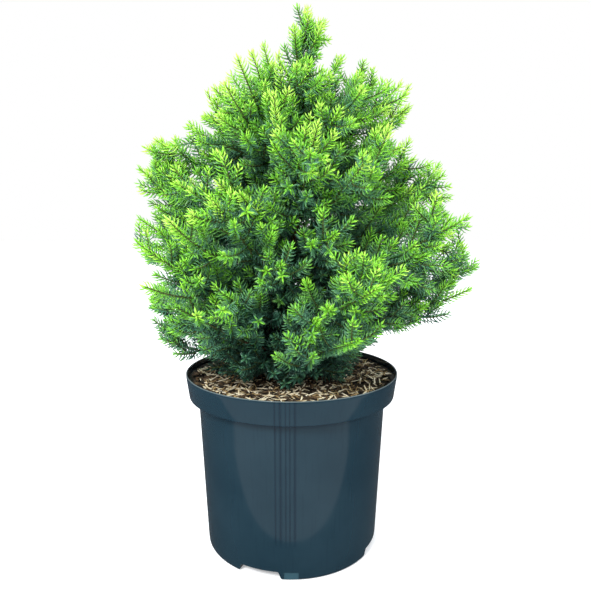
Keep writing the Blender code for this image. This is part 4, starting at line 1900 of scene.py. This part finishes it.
@dataclass
class Studio:
    """Floor, light and camera."""

    focal_pixels: float = 590.0
    frame_pixels: float = 591.0
    sensor: float = 36.0
    camera_place: tuple = (0.0041, -0.620, 0.358)
    pitch: float = math.radians(8.3)
    floor_half: float = 6.0
    seen: tuple = (1.0, 1.0, 1.0, 1.0)
    soft: tuple = (0.98, 1.02, 1.08, 1.0)
    dim: tuple = (0.10, 0.11, 0.12, 1.0)

    def build(self) -> None:
        """Set up everything around the plant."""
        self.build_floor()
        self.build_world()
        self.build_lights()
        self.build_camera()

    def build_floor(self) -> None:
        """A wide pale floor that the pot stands on."""
        bm = bmesh.new()
        bmesh.ops.create_grid(bm, x_segments=1, y_segments=1, size=self.floor_half)
        floor = object_of("floor", bm)
        m = Material("floor")
        m.feed(Base_Color=linear(246, 246, 246), Roughness=0.9, Specular_IOR_Level=0.1)
        m.feed(Emission_Color=linear(255, 255, 255), Emission_Strength=0.34)
        floor.data.materials.append(m.material)
        floor.visible_glossy = False

    def build_world(self) -> None:
        """White all round to the camera, a soft sky to the surfaces and a dim room to the gloss."""
        world = bpy.data.worlds.new("studio")
        bpy.context.scene.world = world
        world.use_nodes = True
        tree = world.node_tree
        tree.nodes.clear()
        shown = add_node(tree, "ShaderNodeBackground", {}, {"Color": self.soft})
        for ray, colour in (("Is Glossy Ray", self.dim), ("Is Camera Ray", self.seen)):
            kind = add_node(tree, "ShaderNodeLightPath", {}, {}).outputs[ray]
            back = add_node(tree, "ShaderNodeBackground", {}, {"Color": colour})
            parts = enumerate((kind, shown.outputs[0], back.outputs[0]))
            links = {place: Value(tree, part) for place, part in parts}
            shown = add_node(tree, "ShaderNodeMixShader", {}, links)
        add_node(tree, "ShaderNodeOutputWorld", {}, {"Surface": Value(tree, shown.outputs[0])})

    def build_lights(self) -> None:
        """A key above at the left, weaker lights at the right and behind, and a low card for the gloss."""
        middle = (0.0, 0.0, 0.35)
        boxes = (
            SoftBox("key", (-0.8, -1.5, 1.6), middle, (0.5, 0.5), 58.0),
            SoftBox("fill", (1.4, -0.5, 1.1), middle, (1.0, 1.0), 1.6),
            SoftBox("back", (0.3, 1.5, 1.4), middle, (1.2, 1.2), 2.0),
            SoftBox("card_front", (0.0, -0.66, 0.004), (0.0, -0.66, 1.0), (2.4, 1.03), 0.38),
        )
        for box in boxes:
            box.build()
        bpy.context.scene.view_settings.view_transform = "Standard"

    def build_camera(self) -> None:
        """The camera at the photograph's place."""
        data = bpy.data.cameras.new("camera")
        data.sensor_width = self.sensor
        data.lens = self.sensor * self.focal_pixels / self.frame_pixels
        data.clip_start = 0.01
        camera = bpy.data.objects.new("camera", data)
        camera.location = self.camera_place
        camera.rotation_euler = (math.pi / 2 - self.pitch, 0.0, 0.0)
        bpy.context.scene.collection.objects.link(camera)
        bpy.context.scene.camera = camera


def main() -> None:
    """Load the solids, dress them and set up the studio."""
    logging.basicConfig(level=logging.INFO, format="%(message)s")
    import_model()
    pot = Pot()
    pot.build()
    crown = Crown(pot=pot.sizes)
    crown.grow()
    Mulch(pot.sizes, crown.trunk).build()
    wood = Wood(crown)
    wood.build_trunk()
    wood.build_boughs()
    wood.build_twigs()
    pieces = Needles(crown).build()
    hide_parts(*(f"foliage_{name}" for name in crown.mass_names()))
    Studio().build()


if __name__ == "__main__":
    main()
